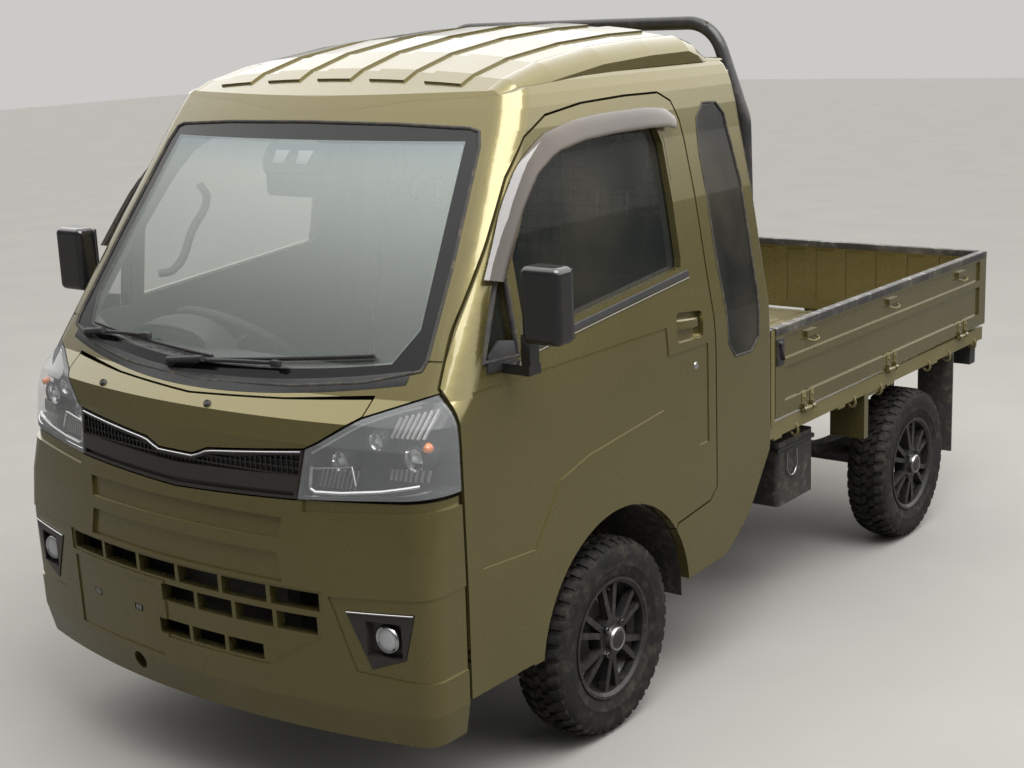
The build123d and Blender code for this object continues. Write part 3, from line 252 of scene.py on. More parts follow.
def paint(name, hollow=False):
    """Olive metallic lacquer; hollow is for the cab and doors, which are trimmed inside."""
    coat = Finish(name, Coat_Roughness=0.035, Coat_IOR=1.5)
    flakes = coat.cells(1400) * 1.6
    tone = coat.noise(1.3, detail=2)
    olive = coat.blend((flakes * 0.35 + tone * 0.65).ramp(0.2, 0.9), OLIVE, OLIVE_LIGHT)
    grime = coat.noise(9, detail=6, rough=0.65)
    low = 1 - coat.z.ramp(0.22, 0.50)
    film = (low * 0.40 + 0.03) * grime.ramp(0.38, 0.78)
    streaks = coat.noise(22, detail=5, stretch=(1, 1, 9), rough=0.7).ramp(0.68, 0.76) * 0.15
    dull = (film + streaks * 0.4).least(0.9)
    colour = coat.blend(dull * 0.5, olive, DUST)
    rough = 0.27 + dull * 0.35
    outside = 1.0
    if hollow:
        inside, lining, under = cab_inside(coat)
        grain = coat.noise(60, detail=6, rough=0.8)
        colour = coat.blend(inside, colour, coat.blend(grain * 0.3, CAB_TRIM, DUST))
        colour = coat.blend(lining, colour, HEADLINER)
        colour = coat.blend(under, colour, coat.blend(grain.ramp(0.5, 0.8) * 0.5, UNDERCOAT, DUST))
        outside = 1 - inside.most(under)
        rough = rough * outside + (1 - outside) * 0.72
    coat.set(Base_Color=colour, Roughness=rough, Metallic=outside * 0.70, Coat_Weight=outside)
    coat.bump(coat.noise(420, detail=2) * 0.4 + grime * 0.6, 0.03, 0.0004)
    return coat.material


body_paint = paint("body_paint")
cab_paint = paint("cab_paint", hollow=True)


def bed_paint_finish():
    """The same olive where loads have scraped it: bare patches, rust at the scratches and dry mud."""
    coat = Finish("bed_paint", Metallic=0.35, Coat_Weight=0.35, Coat_Roughness=0.3)
    inside = coat.x.size().ramp(0.706, 0.69)
    tone = coat.noise(3, detail=4)
    olive = coat.blend(tone, OLIVE, OLIVE_LIGHT)
    olive = coat.blend(inside * 0.45, olive, (0.36, 0.32, 0.21))
    along = coat.noise(30, detail=7, stretch=(4, 0.35, 4), rough=0.75)
    across = coat.noise(24, detail=7, stretch=(0.4, 3, 3), rough=0.75)
    scrape = (along.ramp(0.55, 0.66) + across.ramp(0.60, 0.70)).least(1) * inside
    rust = coat.noise(14, detail=6, rough=0.7).ramp(0.56, 0.68) * inside
    mud = coat.noise(5, detail=7, rough=0.7).ramp(0.42, 0.62) * (0.25 + inside * 0.75)
    colour = coat.blend(mud * 0.6, olive, (0.33, 0.27, 0.17))
    colour = coat.blend(scrape * 0.75, colour, (0.47, 0.45, 0.40))
    colour = coat.blend(rust * 0.55, colour, (0.19, 0.085, 0.035))
    coat.set(Base_Color=colour, Roughness=0.38 + (mud * 0.3 + rust * 0.25).least(0.5))
    coat.bump(along * 0.5 + mud * 0.5, 0.25, 0.0012)
    return coat.material


bed_paint = bed_paint_finish()
print("paint finishes:", body_paint.name, bed_paint.name)

# %% [markdown]
# Plastics, rubber and metals share one recipe: a base colour with a little cloudiness, a grain in the
# bump at the scale of the real moulding, and dust where it would settle.


# %% Plastics, rubber and metals
def grained(name, colour, rough, grain=900, strength=0.15, cloud=0.15, dust=0.12, metal=0.0, coat=0.0):
    """A moulded or painted surface with a fine grain, cloudy tone and a little dust."""
    made = Finish(name, Metallic=metal, Coat_Weight=coat, Coat_Roughness=0.08)
    clouds = made.noise(7, detail=5, rough=0.6)
    pale = tuple(min(1, c * (1 + cloud) + 0.01 * cloud) for c in colour)
    dark = tuple(c * (1 - cloud) for c in colour)
    tone = made.blend(clouds, dark, pale)
    speck = made.noise(38, detail=6, rough=0.75).ramp(0.45, 0.8) * dust
    made.set(Base_Color=made.blend(speck, tone, DUST), Roughness=(clouds * 0.12 + rough - 0.06) + speck * 0.3)
    made.bump(made.noise(grain, detail=3), strength, 0.0004)
    return made.material


black_steel = grained("black_steel", (0.022, 0.022, 0.023), 0.42, coat=0.3, dust=0.18)
chassis_black = grained("chassis_black", (0.030, 0.029, 0.028), 0.62, grain=260, strength=0.35, dust=0.55)
cast_metal = grained("cast_metal", (0.20, 0.19, 0.18), 0.5, grain=300, strength=0.4, metal=0.9, dust=0.5)
radiator_metal = grained("radiator_metal", (0.06, 0.06, 0.06), 0.6, metal=0.5, dust=0.3)
gloss_black = grained("gloss_black", (0.012, 0.012, 0.013), 0.10, strength=0.02, coat=1.0, dust=0.03)
trim_black = grained("trim_black", (0.024, 0.025, 0.027), 0.48, grain=1100, strength=0.25, dust=0.10)
dash_plastic = grained("dash_plastic", (0.055, 0.056, 0.058), 0.58, grain=700, strength=0.35, dust=0.10)
pale_plastic = grained("pale_plastic", (0.20, 0.20, 0.195), 0.6, grain=700, strength=0.3, dust=0.08)
wheel_black = grained("wheel_black", (0.030, 0.029, 0.029), 0.40, strength=0.1, metal=0.35, coat=0.25,
                      dust=0.30)
flap_rubber = grained("flap_rubber", (0.045, 0.043, 0.040), 0.8, grain=200, strength=0.3, dust=0.55)
chrome = grained("chrome", (0.80, 0.81, 0.82), 0.08, strength=0.01, cloud=0.04, metal=1.0, dust=0.02)
bright_steel = grained("bright_steel", (0.48, 0.48, 0.47), 0.30, strength=0.05, metal=1.0, dust=0.15)
smoked_plastic = grained("smoked_plastic", (0.030, 0.025, 0.023), 0.30, strength=0.02, coat=0.25, dust=0.02)
print("plain finishes made")

# %% [markdown]
# Glass on a vehicle is a thin tinted sheet. Here it is a glossy surface that is mostly see-through: the
# Alpha value is the tint. The windscreen has a black printed border and a soft grey-blue band along its
# top, which are simply places where the sheet is less see-through and takes a colour. The rest of the
# windscreen carries a pale grey-green veil that grows more opaque towards the top: that veil is a painted
# reflection of the bright sky.


# %% Glass
def tinted(name, colour, density, rough=0.02):
    """A glossy sheet: density 0 is clear, 1 hides what is behind it."""
    sheet = Finish(name, Specular_IOR_Level=0.6)
    dust_haze_and_painted_glare = sheet.noise(3, detail=4).ramp(0.3, 0.8) * 0.05 + sheet.noise(60, detail=5).ramp(0.6, 0.8) * 0.03
    sheet.set(Base_Color=sheet.blend(dust_haze_and_painted_glare * 4, colour, DUST), Roughness=dust_haze_and_painted_glare * 0.5 + rough)
    sheet.set(Alpha=(dust_haze_and_painted_glare + density).least(1))
    return sheet


dark_glass = tinted("dark_glass", (0.010, 0.012, 0.012), 0.86).material
door_glass = tinted("door_glass", (0.020, 0.026, 0.025), 0.30).material
clear_lens = tinted("lamp_lens", (0.75, 0.78, 0.80), 0.09, rough=0.01).material

SCREEN_HALF, SCREEN_FOOT_Z, SCREEN_TAPER = 0.634, 1.13, 0.172
BAND_LOW_Z, BAND_HIGH_Z = 1.505, 1.60

screen = tinted("glass", (0.50, 0.56, 0.52), 0.22)
side_edge = screen.x.size() - (SCREEN_HALF - (screen.z - SCREEN_FOOT_Z) * SCREEN_TAPER)
corner = (1.180 - screen.z) * 0.55 + (screen.x.size() - 0.50)
low_edge = 1.062 + screen.x.size().power(2) * 0.115 - screen.z
border = side_edge.ramp(-0.042, -0.038).most((low_edge + 0.026).ramp(-0.002, 0.002))
border = border.most((screen.z - 1.598).ramp(-0.002, 0.002)).most((corner - 0.075).ramp(-0.003, 0.003))
band = screen.z.ramp(BAND_LOW_Z, BAND_HIGH_Z)
# The pale grey-green is a painted reflection of the bright sky; the grey-blue at the top is the band's own
# tint.
colour = screen.blend(band * 0.6, (0.64, 0.70, 0.66), (0.26, 0.33, 0.38))
screen.set(Base_Color=screen.blend(border, colour, (0.006, 0.006, 0.007)))
# The veil of painted reflection grows more opaque towards the top.
dust_haze_and_painted_glare = screen.z.ramp(1.12, 1.60) * 0.20 + 0.15
screen.set(Alpha=(border + band * 0.15 + dust_haze_and_painted_glare).least(1), Roughness=border * 0.08 + 0.02)
screen.set(Metallic=(1 - border) * 0.55)
glass = screen.material


def solid_lens(name, colour, rough, **coat):
    """A smooth coloured lens under a clear gloss."""
    return Finish(name, Base_Color=colour, Roughness=rough, Coat_Weight=1.0, **coat).material


tail_lens = solid_lens("tail_lens", (0.36356, 0.010438, 0.008959), 0.18, Coat_Roughness=0.05)
amber_lens = solid_lens("amber_lens", (0.75, 0.20, 0.02), 0.15)
mirror_glass = Finish("mirror_glass", Base_Color=(0.88, 0.90, 0.92), Metallic=1.0, Roughness=0.02).material
print("glass finishes made")

# %% [markdown]
# Rubber and cloth. The tyres are black rubber with dry mud in uneven patches and a fine grain. The seats
# are a dark cloth with a lighter insert between their raised rims, and a soft sheen makes it read as cloth.


# %% Tyre rubber and seat cloth
def tyre_finish():
    """Black rubber with a fine grain and dry mud in patches."""
    rubber = Finish("tyre_rubber", Specular_IOR_Level=0.22)
    mud = rubber.noise(26, detail=7, rough=0.75).ramp(0.45, 0.75) * 0.5
    black = rubber.blend(rubber.noise(12, detail=4), (0.010, 0.010, 0.010), (0.022, 0.021, 0.020))
    rubber.set(Base_Color=rubber.blend(mud * 0.7, black, (0.15, 0.125, 0.09)))
    rubber.set(Roughness=0.66 + mud * 0.25)
    rubber.bump(rubber.noise(500, detail=3) * 0.25 + mud * 0.6, 0.35, 0.0010)
    return rubber.material


def cloth_finish(name, dark, light):
    """Cloth with sheen, lighter on the insert of each seat."""
    cloth = Finish(name, Sheen_Weight=0.35, Sheen_Roughness=0.4, Roughness=0.9115)
    tone = cloth.noise(16, detail=5)
    insert = 1 - (cloth.x.size() - SEAT_MID).size().ramp(RIM_X - 0.002, RIM_X + 0.001)
    cloth.set(Base_Color=cloth.blend(tone * 0.2 + insert * 0.4 + 0.246, dark, light))
    return cloth.material


tyre_rubber = tyre_finish()
seat_cloth = cloth_finish("seat_cloth", (0.028, 0.028, 0.030), (0.085, 0.085, 0.089))
print("tyre rubber and cloth made")

# %% [markdown]
# Each solid of the frame now gets its finish. The record of the part says which material slot a solid
# belongs to, so the finishes are matched by that name, and a few solids that share a slot but look
# different are given their own afterwards.

# %% Finish the frame's solids
FINISH_OF_SLOT = {
    "body_paint": body_paint, "bed_paint": bed_paint, "black_steel": black_steel,
    "cast_metal": cast_metal, "radiator_metal": radiator_metal, "glass": glass,
    "dark_glass": dark_glass, "lamp_lens": clear_lens, "lamp_housing": trim_black,
    "tail_lens": tail_lens, "smoked_plastic": smoked_plastic, "gloss_black": gloss_black,
    "dash_plastic": dash_plastic, "seat_fabric": seat_cloth, "flap_rubber": flap_rubber,
    "wheel_black": wheel_black, "tyre_rubber": tyre_rubber,
}


def cover(piece, finish):
    """Give a piece one finish."""
    piece.data.materials.clear()
    piece.data.materials.append(finish)


slot_of_node = {part["node"]: part["material_slot"] for part in frame["record"]["subparts"]}
for name, node in nodes.items():
    cover(node, FINISH_OF_SLOT.get(slot_of_node.get(name), black_steel))
for name in ("chassis_frame", "front_suspension", "leaf_springs", "fuel_tank", "battery_box", "front_panel"):
    cover(nodes[name], chassis_black)
for name in ("door_glass_left", "door_glass_right"):
    cover(nodes[name], door_glass)
for name in ("cab_shell", "roof_panel", "door_left", "door_right"):
    cover(nodes[name], cab_paint)
print("finished solids:", len(nodes))

# %% [markdown]
# Everything below is modelled with the tools a person would use by hand. A few short helpers carry most of
# it: they start clean, pick faces by a rule, sink a face, bake a modifier in, copy a piece, and hand a
# finished piece to the body that carries it.


# %% Modelling helpers
def start():
    """Leave edit mode and deselect everything."""
    if bpy.context.object and bpy.context.object.mode != "OBJECT":
        bpy.ops.object.mode_set(mode="OBJECT")
    bpy.ops.object.select_all(action="DESELECT")


def hold(piece):
    """Select one piece and nothing else."""
    start()
    piece.select_set(True)
    bpy.context.view_layer.objects.active = piece


def settle(piece):
    """Bake a piece's own place and turn into its mesh."""
    hold(piece)
    bpy.ops.object.transform_apply(location=True, rotation=True, scale=True)
    return piece


def pick(rule, what="face"):
    """In edit mode, select the faces or edges whose middle and normal, or run, a rule takes."""
    mesh = bmesh.from_edit_mesh(bpy.context.object.data)
    for group in (mesh.faces, mesh.edges, mesh.verts):
        for item in group:
            item.select = False
    if what == "face":
        chosen = [f for f in mesh.faces if rule(f.calc_center_median(), f.normal)]
    else:
        chosen = [e for e in mesh.edges
                  if rule((e.verts[0].co + e.verts[1].co) / 2, e.verts[1].co - e.verts[0].co)]
    for item in chosen:
        item.select = True
    mesh.select_flush_mode()
    bmesh.update_edit_mesh(bpy.context.object.data)


def edit(piece):
    """Open one piece in edit mode with everything selected."""
    hold(piece)
    bpy.ops.object.mode_set(mode="EDIT")
    bpy.ops.mesh.select_all(action="SELECT")


def bevel_all(piece, offset, segments):
    """Round every edge of a piece."""
    edit(piece)
    bpy.ops.mesh.bevel(offset=offset, segments=segments, affect="EDGES", clamp_overlap=True)
    bpy.ops.object.mode_set(mode="OBJECT")
    return piece


def sink(piece, towards, *steps, facing=0.9, near=lambda middle: True):
    """Inset the faces that look one way and push them in; each step is an inset and a depth."""
    towards = Vector(towards)
    edit(piece)
    pick(lambda c, n: n.dot(towards) > facing and near(c))
    for inset, depth in steps:
        bpy.ops.mesh.inset(thickness=inset)
        bpy.ops.transform.translate(value=tuple(-depth * towards))
    bpy.ops.object.mode_set(mode="OBJECT")
    return piece


def modify(piece, kind, **settings):
    """Add a modifier and apply it."""
    hold(piece)
    modifier = piece.modifiers.new(kind.lower(), kind)
    for name, value in settings.items():
        setattr(modifier, name, value)
    bpy.ops.object.modifier_apply(modifier=modifier.name)
    return piece


def outward(piece):
    """Merge doubles and turn every face outwards."""
    edit(piece)
    bpy.ops.mesh.remove_doubles(threshold=0.00005)
    bpy.ops.mesh.normals_make_consistent(inside=False)
    bpy.ops.object.mode_set(mode="OBJECT")
    return piece


def fit(piece, name, finish, body="root", stands_for=()):
    """Name a finished piece, smooth it, give it its finish and let it ride on a body."""
    settle(piece)
    piece.name = name
    cover(piece, finish)
    hold(piece)
    bpy.ops.object.shade_smooth_by_angle(angle=radians(35))
    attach(piece, body)
    if stands_for:
        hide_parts(*stands_for)
    return piece


def twin(piece, turn=None):
    """A copy with a mesh of its own, mirrored to the other side unless a turn is given."""
    copy = piece.copy()
    copy.data = piece.data.copy()
    copy.parent = None
    bpy.context.collection.objects.link(copy)
    change = turn if turn is not None else Matrix.Scale(-1, 4, (1, 0, 0))
    copy.data.transform(change)
    if change.determinant() < 0:
        copy.data.flip_normals()
    copy.matrix_world = Matrix.Identity(4)
    return copy


def join(pieces):
    """Weld several finished meshes into one piece."""
    start()
    for piece in pieces:
        piece.select_set(True)
    bpy.context.view_layer.objects.active = pieces[0]
    if len(pieces) > 1:
        bpy.ops.object.join()
    return bpy.context.object


def pad_box(low, high, round_by=0.002, segments=2):
    """A block between two corners with rounded edges."""
    start()
    middle = [(a + b) / 2 for a, b in zip(low, high)]
    bpy.ops.mesh.primitive_cube_add(size=1, location=middle, scale=[abs(b - a) for a, b in zip(low, high)])
    return bevel_all(settle(bpy.context.object), round_by, segments)


def sheet_of(points, thickness=None, offset=-1.0):
    """A flat face through any outline of points, given a thickness by Solidify if asked."""
    start()
    bpy.ops.mesh.primitive_circle_add(vertices=len(points), fill_type="NGON")
    plate = bpy.context.object
    for vertex, point in zip(plate.data.vertices, points):
        vertex.co = point
    if thickness:
        modify(plate, "SOLIDIFY", thickness=thickness, offset=offset)
    return plate


def tube(points, radius, closed=False, round_off=True, sides=3):
    """A round bar along points, made from a curve, which rounds the points off or not."""
    start()
    bpy.ops.curve.primitive_bezier_curve_add()
    line = bpy.context.object
    curve = line.data
    curve.splines.clear()
    spline = curve.splines.new("POLY" if not round_off else "BEZIER")
    if round_off:
        spline.bezier_points.add(len(points) - 1)
        for knot, point in zip(spline.bezier_points, points):
            knot.co = point
            knot.handle_left_type = knot.handle_right_type = "AUTO"
    else:
        spline.points.add(len(points) - 1)
        for knot, point in zip(spline.points, points):
            knot.co = (*point, 1)
    spline.use_cyclic_u = closed
    curve.dimensions = "3D"
    curve.resolution_u = 6
    curve.bevel_depth = radius
    curve.bevel_resolution = sides
    curve.use_fill_caps = not closed
    line.matrix_world = Matrix.Identity(4)
    bpy.ops.object.convert(target="MESH")
    return bpy.context.object


def disc(centre, axis, radius, depth, sides=32, taper=1.0, round_by=0.001):
    """A turned round part from centre along axis, its far rim rounded and narrowed by taper."""
    start()
    bpy.ops.mesh.primitive_cone_add(vertices=sides, radius1=radius, radius2=radius * taper, depth=depth)
    turned = bpy.context.object
    axis = Vector(axis).normalized()
    turned.matrix_world = (Matrix.Translation(Vector(centre) + axis * depth / 2)
                           @ axis.to_track_quat("Z", "Y").to_matrix().to_4x4())
    settle(turned)
    edit(turned)
    pick(lambda c, n: (c - Vector(centre)).dot(axis) > depth * 0.98)
    bpy.ops.mesh.bevel(offset=round_by, segments=2, affect="EDGES", clamp_overlap=True)
    bpy.ops.object.mode_set(mode="OBJECT")
    return turned


def touch(node_name, origin, direction):
    """Where a straight line first meets a solid of the frame, and the surface's direction there."""
    hit, place, normal, _ = nodes[node_name].ray_cast(Vector(origin), Vector(direction).normalized())
    if not hit:
        raise ValueError(f"no surface of {node_name} from {tuple(origin)}")
    return place, normal


def front_skin(node_name, x, z, proud=0.0):
    """The point of a solid seen from the front at x and z, moved forward by proud."""
    place, normal = touch(node_name, (x, -3, z), (0, 1, 0))
    return place + normal * proud


print("helpers ready; bumper front at", [round(v, 4) for v in front_skin("front_bumper", 0.2, 0.66)])

# %% [markdown]
# The tyres are the mixed road and mud kind. The carcass is one profile spun about the axle; the tread is a
# ring of separate rubber blocks. One block of each row is modelled once and repeated round the wheel, and
# the rows are offset from each other by half a step, with a row of slanted blocks in the middle.

# %% Tyres
TREAD_STEPS = 44
CARCASS_LINE = [
    (0.1560, -0.050), (0.1560, -0.0565), (0.163, -0.0598), (0.172, -0.0625), (0.182, -0.0660),
    (0.194, -0.0690), (0.196, -0.0700), (0.199, -0.0700), (0.201, -0.0695), (0.216, -0.0710),
    (0.230, -0.0705), (0.241, -0.0690), (0.250, -0.0650), (0.2560, -0.0590), (0.2600, -0.0500),
    (0.2608, -0.0250), (0.2610, 0.0),
]


def carcass():
    """The tyre's body: a profile spun about the x axis at the origin."""
    outline = CARCASS_LINE + [(r, -x) for r, x in reversed(CARCASS_LINE[:-1])]
    inner = [(r - 0.006, x * 0.86) for r, x in reversed(outline) if r > 0.166]
    ring = outline + [(0.158, 0.044)] + inner + [(0.158, -0.044)]
    start()
    bpy.ops.mesh.primitive_circle_add(vertices=len(ring), fill_type="NOTHING")
    body = bpy.context.object
    for vertex, (radius, x) in zip(body.data.vertices, ring):
        vertex.co = (x, 0, radius)
    edit(body)
    bpy.ops.mesh.spin(steps=72, angle=2 * pi, center=(0, 0, 0), axis=(1, 0, 0))
    bpy.ops.object.mode_set(mode="OBJECT")
    return outward(body)


def tread_block(x0, x1, length, slant, wide_at_edge=0.0):
    """One rubber block standing on the tread at the top of the tyre."""
    low, high = 0.2555, TYRE_R - 0.0002
    start()
    bpy.ops.mesh.primitive_cube_add(size=1, location=(0, 0, (low + high) / 2), scale=(1, 1, high - low))
    block = settle(bpy.context.object)
    for vertex in block.data.vertices:
        side = vertex.co.x > 0
        x = x1 if side else x0
        half = length / 2 + (wide_at_edge if abs(x) > 0.04 else 0)
        top = vertex.co.z > (low + high) / 2
        y = (half if vertex.co.y > 0 else -half) * (0.86 if top else 1.0) + slant * x
        drop = 0.010 * max(0, abs(x) - 0.045) / 0.02
        z = vertex.co.z - (drop if top else drop * 1.4)
        vertex.co = (x * (0.985 if top else 1.0), y, (z * z - y * y) ** 0.5)
    return bevel_all(block, 0.0007, 1)


def round_the_wheel(piece, count, start_turn=0.0):
    """Repeat a mesh round the x axis and weld it into one piece."""
    copies = [twin(piece, Matrix.Rotation(start_turn + 2 * pi * i / count, 4, "X")) for i in range(count)]
    bpy.data.objects.remove(piece)
    return join(copies)


def tyre():
    """A whole tyre at the origin, its axle along x."""
    step = 2 * pi * TYRE_R / TREAD_STEPS
    parts = [carcass()]
    for side in (-1, 1):
        shoulder = tread_block(side * 0.038, side * 0.0655, step * 0.62, side * 0.10, 0.002)
        parts.append(round_the_wheel(outward(shoulder), TREAD_STEPS))
        middle = tread_block(side * 0.0135, side * 0.0345, step * 0.66, side * 0.42)
        parts.append(round_the_wheel(outward(middle), TREAD_STEPS, pi / TREAD_STEPS))
        lug = tread_block(side * 0.0600, side * 0.0685, step * 0.34, 0)
        for vertex in lug.data.vertices:
            vertex.co.z -= 0.0135
            vertex.co.x += side * 0.0015
        parts.append(round_the_wheel(outward(lug), TREAD_STEPS, pi / TREAD_STEPS))
    rib = tread_block(-0.0095, 0.0095, step * 0.78, 0.55)
    parts.append(round_the_wheel(outward(rib), TREAD_STEPS))
    return join(parts)


WHEELS = {
    "front_left": (TRACK_HALF, 0.0), "front_right": (-TRACK_HALF, 0.0),
    "rear_left": (TRACK_HALF, WHEELBASE), "rear_right": (-TRACK_HALF, WHEELBASE),
}
first_tyre = tyre()
print("tyre:", len(first_tyre.data.polygons), "faces")
for corner, (x, station) in WHEELS.items():
    one = twin(first_tyre, Matrix.Translation((x, back(station), TYRE_R)))
    fit(one, f"treaded_tyre_{corner}", tyre_rubber, f"wheel_{corner}", (f"tyre_{corner}",))
bpy.data.objects.remove(first_tyre)

# %% [markdown]
# Each wheel takes a few small fittings on its face: a bright centre ring with a plain cap in it, four
# tapered nuts and a valve. They are turned parts, so a disc with a rounded rim is the right start.

# %% Wheel fittings
NUT_R = 0.050


def wheel_fittings():
    """Cap, ring, nuts and valve of the left front wheel, at the origin, outer side to +x."""
    ring = disc((0.0745, 0, 0), (1, 0, 0), 0.0335, 0.0060, 40, 0.92, 0.0012)
    sink(ring, (1, 0, 0), (0.0055, 0.003))
    cap = disc((0.0765, 0, 0), (1, 0, 0), 0.0265, 0.0038, 40, 0.90, 0.0012)
    nuts = []
    for i in range(4):
        a = pi / 4 + i * pi / 2
        place = (0.0590, NUT_R * cos(a), NUT_R * sin(a))
        nut = disc(place, (1, 0, 0), 0.0098, 0.0115, 6, 0.82, 0.0015)
        nuts.append(sink(nut, (1, 0, 0), (0.0035, 0.003)))
    valve = disc((0.0350, 0, 0.1405), (1, 0, -0.4), 0.0032, 0.020, 12, 0.8, 0.0006)
    return ring, cap, join(nuts), valve


first_set = wheel_fittings()
for corner, (x, station) in WHEELS.items():
    side = 1 if x > 0 else -1
    place = Matrix.Translation((x, back(station), TYRE_R)) @ Matrix.Scale(side, 4, (1, 0, 0))
    for part, label, finish in zip(first_set, ("cap_ring", "cap", "nuts", "valve"),
                                   (bright_steel, wheel_black, gloss_black, flap_rubber)):
        one = twin(part, place)
        fit(one, f"wheel_{label}_{corner}", finish, f"wheel_{corner}")
for part in first_set:
    bpy.data.objects.remove(part)
print("wheel fittings made")

# %% [markdown]
# Trim follows the body: a cowl, a rubber strip or a visor lies on a curved panel a millimetre or two
# proud of it. So two more helpers find points on the solids and lay a band through them. The band is a
# grid whose rows are put on the surface, then given its thickness.

# %% Bands on the body
SIDE_HALF = [(0.95, 0.7375), (1.0, 0.736), (1.05, 0.732), (1.15, 0.714), (1.38, 0.676), (1.55, 0.640),
             (1.62, 0.627), (1.67, 0.614), (1.70, 0.603)]


def side_x(z):
    """Half width of the cab at a height."""
    if z <= SIDE_HALF[0][0]:
        return SIDE_HALF[0][1]
    for (z0, x0), (z1, x1) in zip(SIDE_HALF, SIDE_HALF[1:]):
        if z <= z1:
            return x0 + (x1 - x0) * (z - z0) / (z1 - z0)
    return SIDE_HALF[-1][1]


def on_side(station, z, proud=0.0):
    """Point of the cab's left side, moved outwards by proud."""
    return Vector((side_x(z) + proud, back(station), z))


def spread(line, count):
    """An open line of points, taken again at equal steps."""
    line = [Vector(p) for p in line]
    runs = [(b - a).length for a, b in zip(line, line[1:])]
    total = sum(runs)
    points = []
    for i in range(count):
        left = total * i / (count - 1)
        k = 0
        while k < len(runs) - 1 and left > runs[k]:
            left -= runs[k]
            k += 1
        points.append(line[k].lerp(line[k + 1], min(1, left / runs[k])))
    return points


def band(rows, thickness=0.0, offset=-1.0, round_by=0.0):
    """A strip through rows of points, thickened and rounded if asked."""
    start()
    across, along = len(rows), len(rows[0])
    bpy.ops.mesh.primitive_grid_add(x_subdivisions=along - 1, y_subdivisions=across - 1, size=1)
    strip = bpy.context.object
    for vertex, point in zip(strip.data.vertices, [p for row in rows for p in row]):
        vertex.co = point
    if thickness:
        modify(strip, "SOLIDIFY", thickness=thickness, offset=offset)
    outward(strip)
    if round_by:
        modify(strip, "BEVEL", width=round_by, segments=2, limit_method="ANGLE", angle_limit=radians(40))
    return strip


def pair(piece, name, finish, body="root"):
    """Fit a left-hand piece and its mirror image on the right."""
    other = twin(piece)
    other_body = body.replace("left", "right")
    fit(piece, name + "_left", finish, body)
    fit(other, name + "_right", finish, other_body)


print("side of the cab at 1.4 m:", round(side_x(1.4), 4))

# %% [markdown]
# Rain visors are a smoked plastic channel stuck along the top of each door window. The top edge lies on
# the door frame and the lower edge stands off the glass, so the band needs five rows.

# %% Rain visors
VISOR_OUTER = [(-0.452, 1.300), (-0.345, 1.452), (-0.250, 1.543), (-0.133, 1.603), (-0.006, 1.626),
               (0.142, 1.634), (0.334, 1.634), (0.432, 1.627), (0.462, 1.605)]
VISOR_INNER = [(-0.405, 1.290), (-0.300, 1.430), (-0.205, 1.516), (-0.110, 1.560), (0.010, 1.578),
               (0.150, 1.583), (0.330, 1.583), (0.410, 1.579), (0.440, 1.572)]


def visor():
    """The left door's rain visor."""
    outer = spread([(s, z, 0) for s, z in VISOR_OUTER], 26)
    inner = spread([(s, z, 0) for s, z in VISOR_INNER], 26)
    rows = []
    for share, proud in ((0.0, 0.0010), (0.10, 0.009), (0.45, 0.017), (0.85, 0.021), (1.0, 0.0205)):
        rows.append([on_side(*(o.lerp(i, share).xy), proud) for o, i in zip(outer, inner)])
    return band(rows, thickness=0.0025)


smoke = tinted("visor_smoke", (0.045, 0.030, 0.022), 0.80, rough=0.06)
smoke.set(Coat_Weight=1.0)
pair(visor(), "rain_visor", smoke.material, "door_left")
print("rain visors fitted")

# %% [markdown]
# Window rubber is what makes a window look fitted. A round rubber runs in the corner between each pane
# and its frame; along the lower edge of the door glass it is a flat wiper with a thin bright strip.

# %% Window rubbers
DOOR_GLASS = [(-0.345, 1.128), (0.385, 1.196), (0.392, 1.230), (0.402, 1.540), (0.385, 1.585),
              (0.330, 1.610), (0.060, 1.607), (-0.070, 1.594), (-0.165, 1.552), (-0.232, 1.490),
              (-0.345, 1.340)]
QUARTER_PANE = [(-0.505, 1.118), (-0.375, 1.112), (-0.375, 1.300), (-0.405, 1.304)]
REAR_PANE = [(0.575, 0.960), (0.610, 0.918), (0.700, 0.915), (0.745, 0.950), (0.758, 1.080),
             (0.758, 1.400), (0.735, 1.590), (0.700, 1.625), (0.630, 1.628), (0.585, 1.590),
             (0.568, 1.500), (0.562, 1.250)]
SCREEN = [(0, 1.046), (0.300, 1.058), (0.500, 1.078), (0.628, 1.108), (0.634, 1.130), (0.608, 1.330),
          (0.562, 1.585), (0.545, 1.622), (0.520, 1.630), (0.300, 1.640), (0, 1.644)]


def loop_between(line, steps=3):
    """A closed line with extra points on each run, so that it can follow a curved panel."""
    points = []
    for (a, b), (c, d) in zip(line, line[1:] + line[:1]):
        for i in range(steps):
            points.append((a + (c - a) * i / steps, b + (d - b) * i / steps))
    return points


door_seal = tube([on_side(s, z, -0.006) for s, z in loop_between(DOOR_GLASS)], 0.0062, True, False)
pair(door_seal, "door_window_rubber", flap_rubber, "door_left")
pane_seal = tube([on_side(s, z, -0.001) for s, z in loop_between(QUARTER_PANE)], 0.0075, True, False)
pair(pane_seal, "front_pane_rubber", flap_rubber, "door_left")
rear_seal = tube([on_side(s, z, -0.0005) for s, z in loop_between(REAR_PANE)], 0.0035, True, False)
pair(rear_seal, "rear_pane_rubber", flap_rubber, "root")

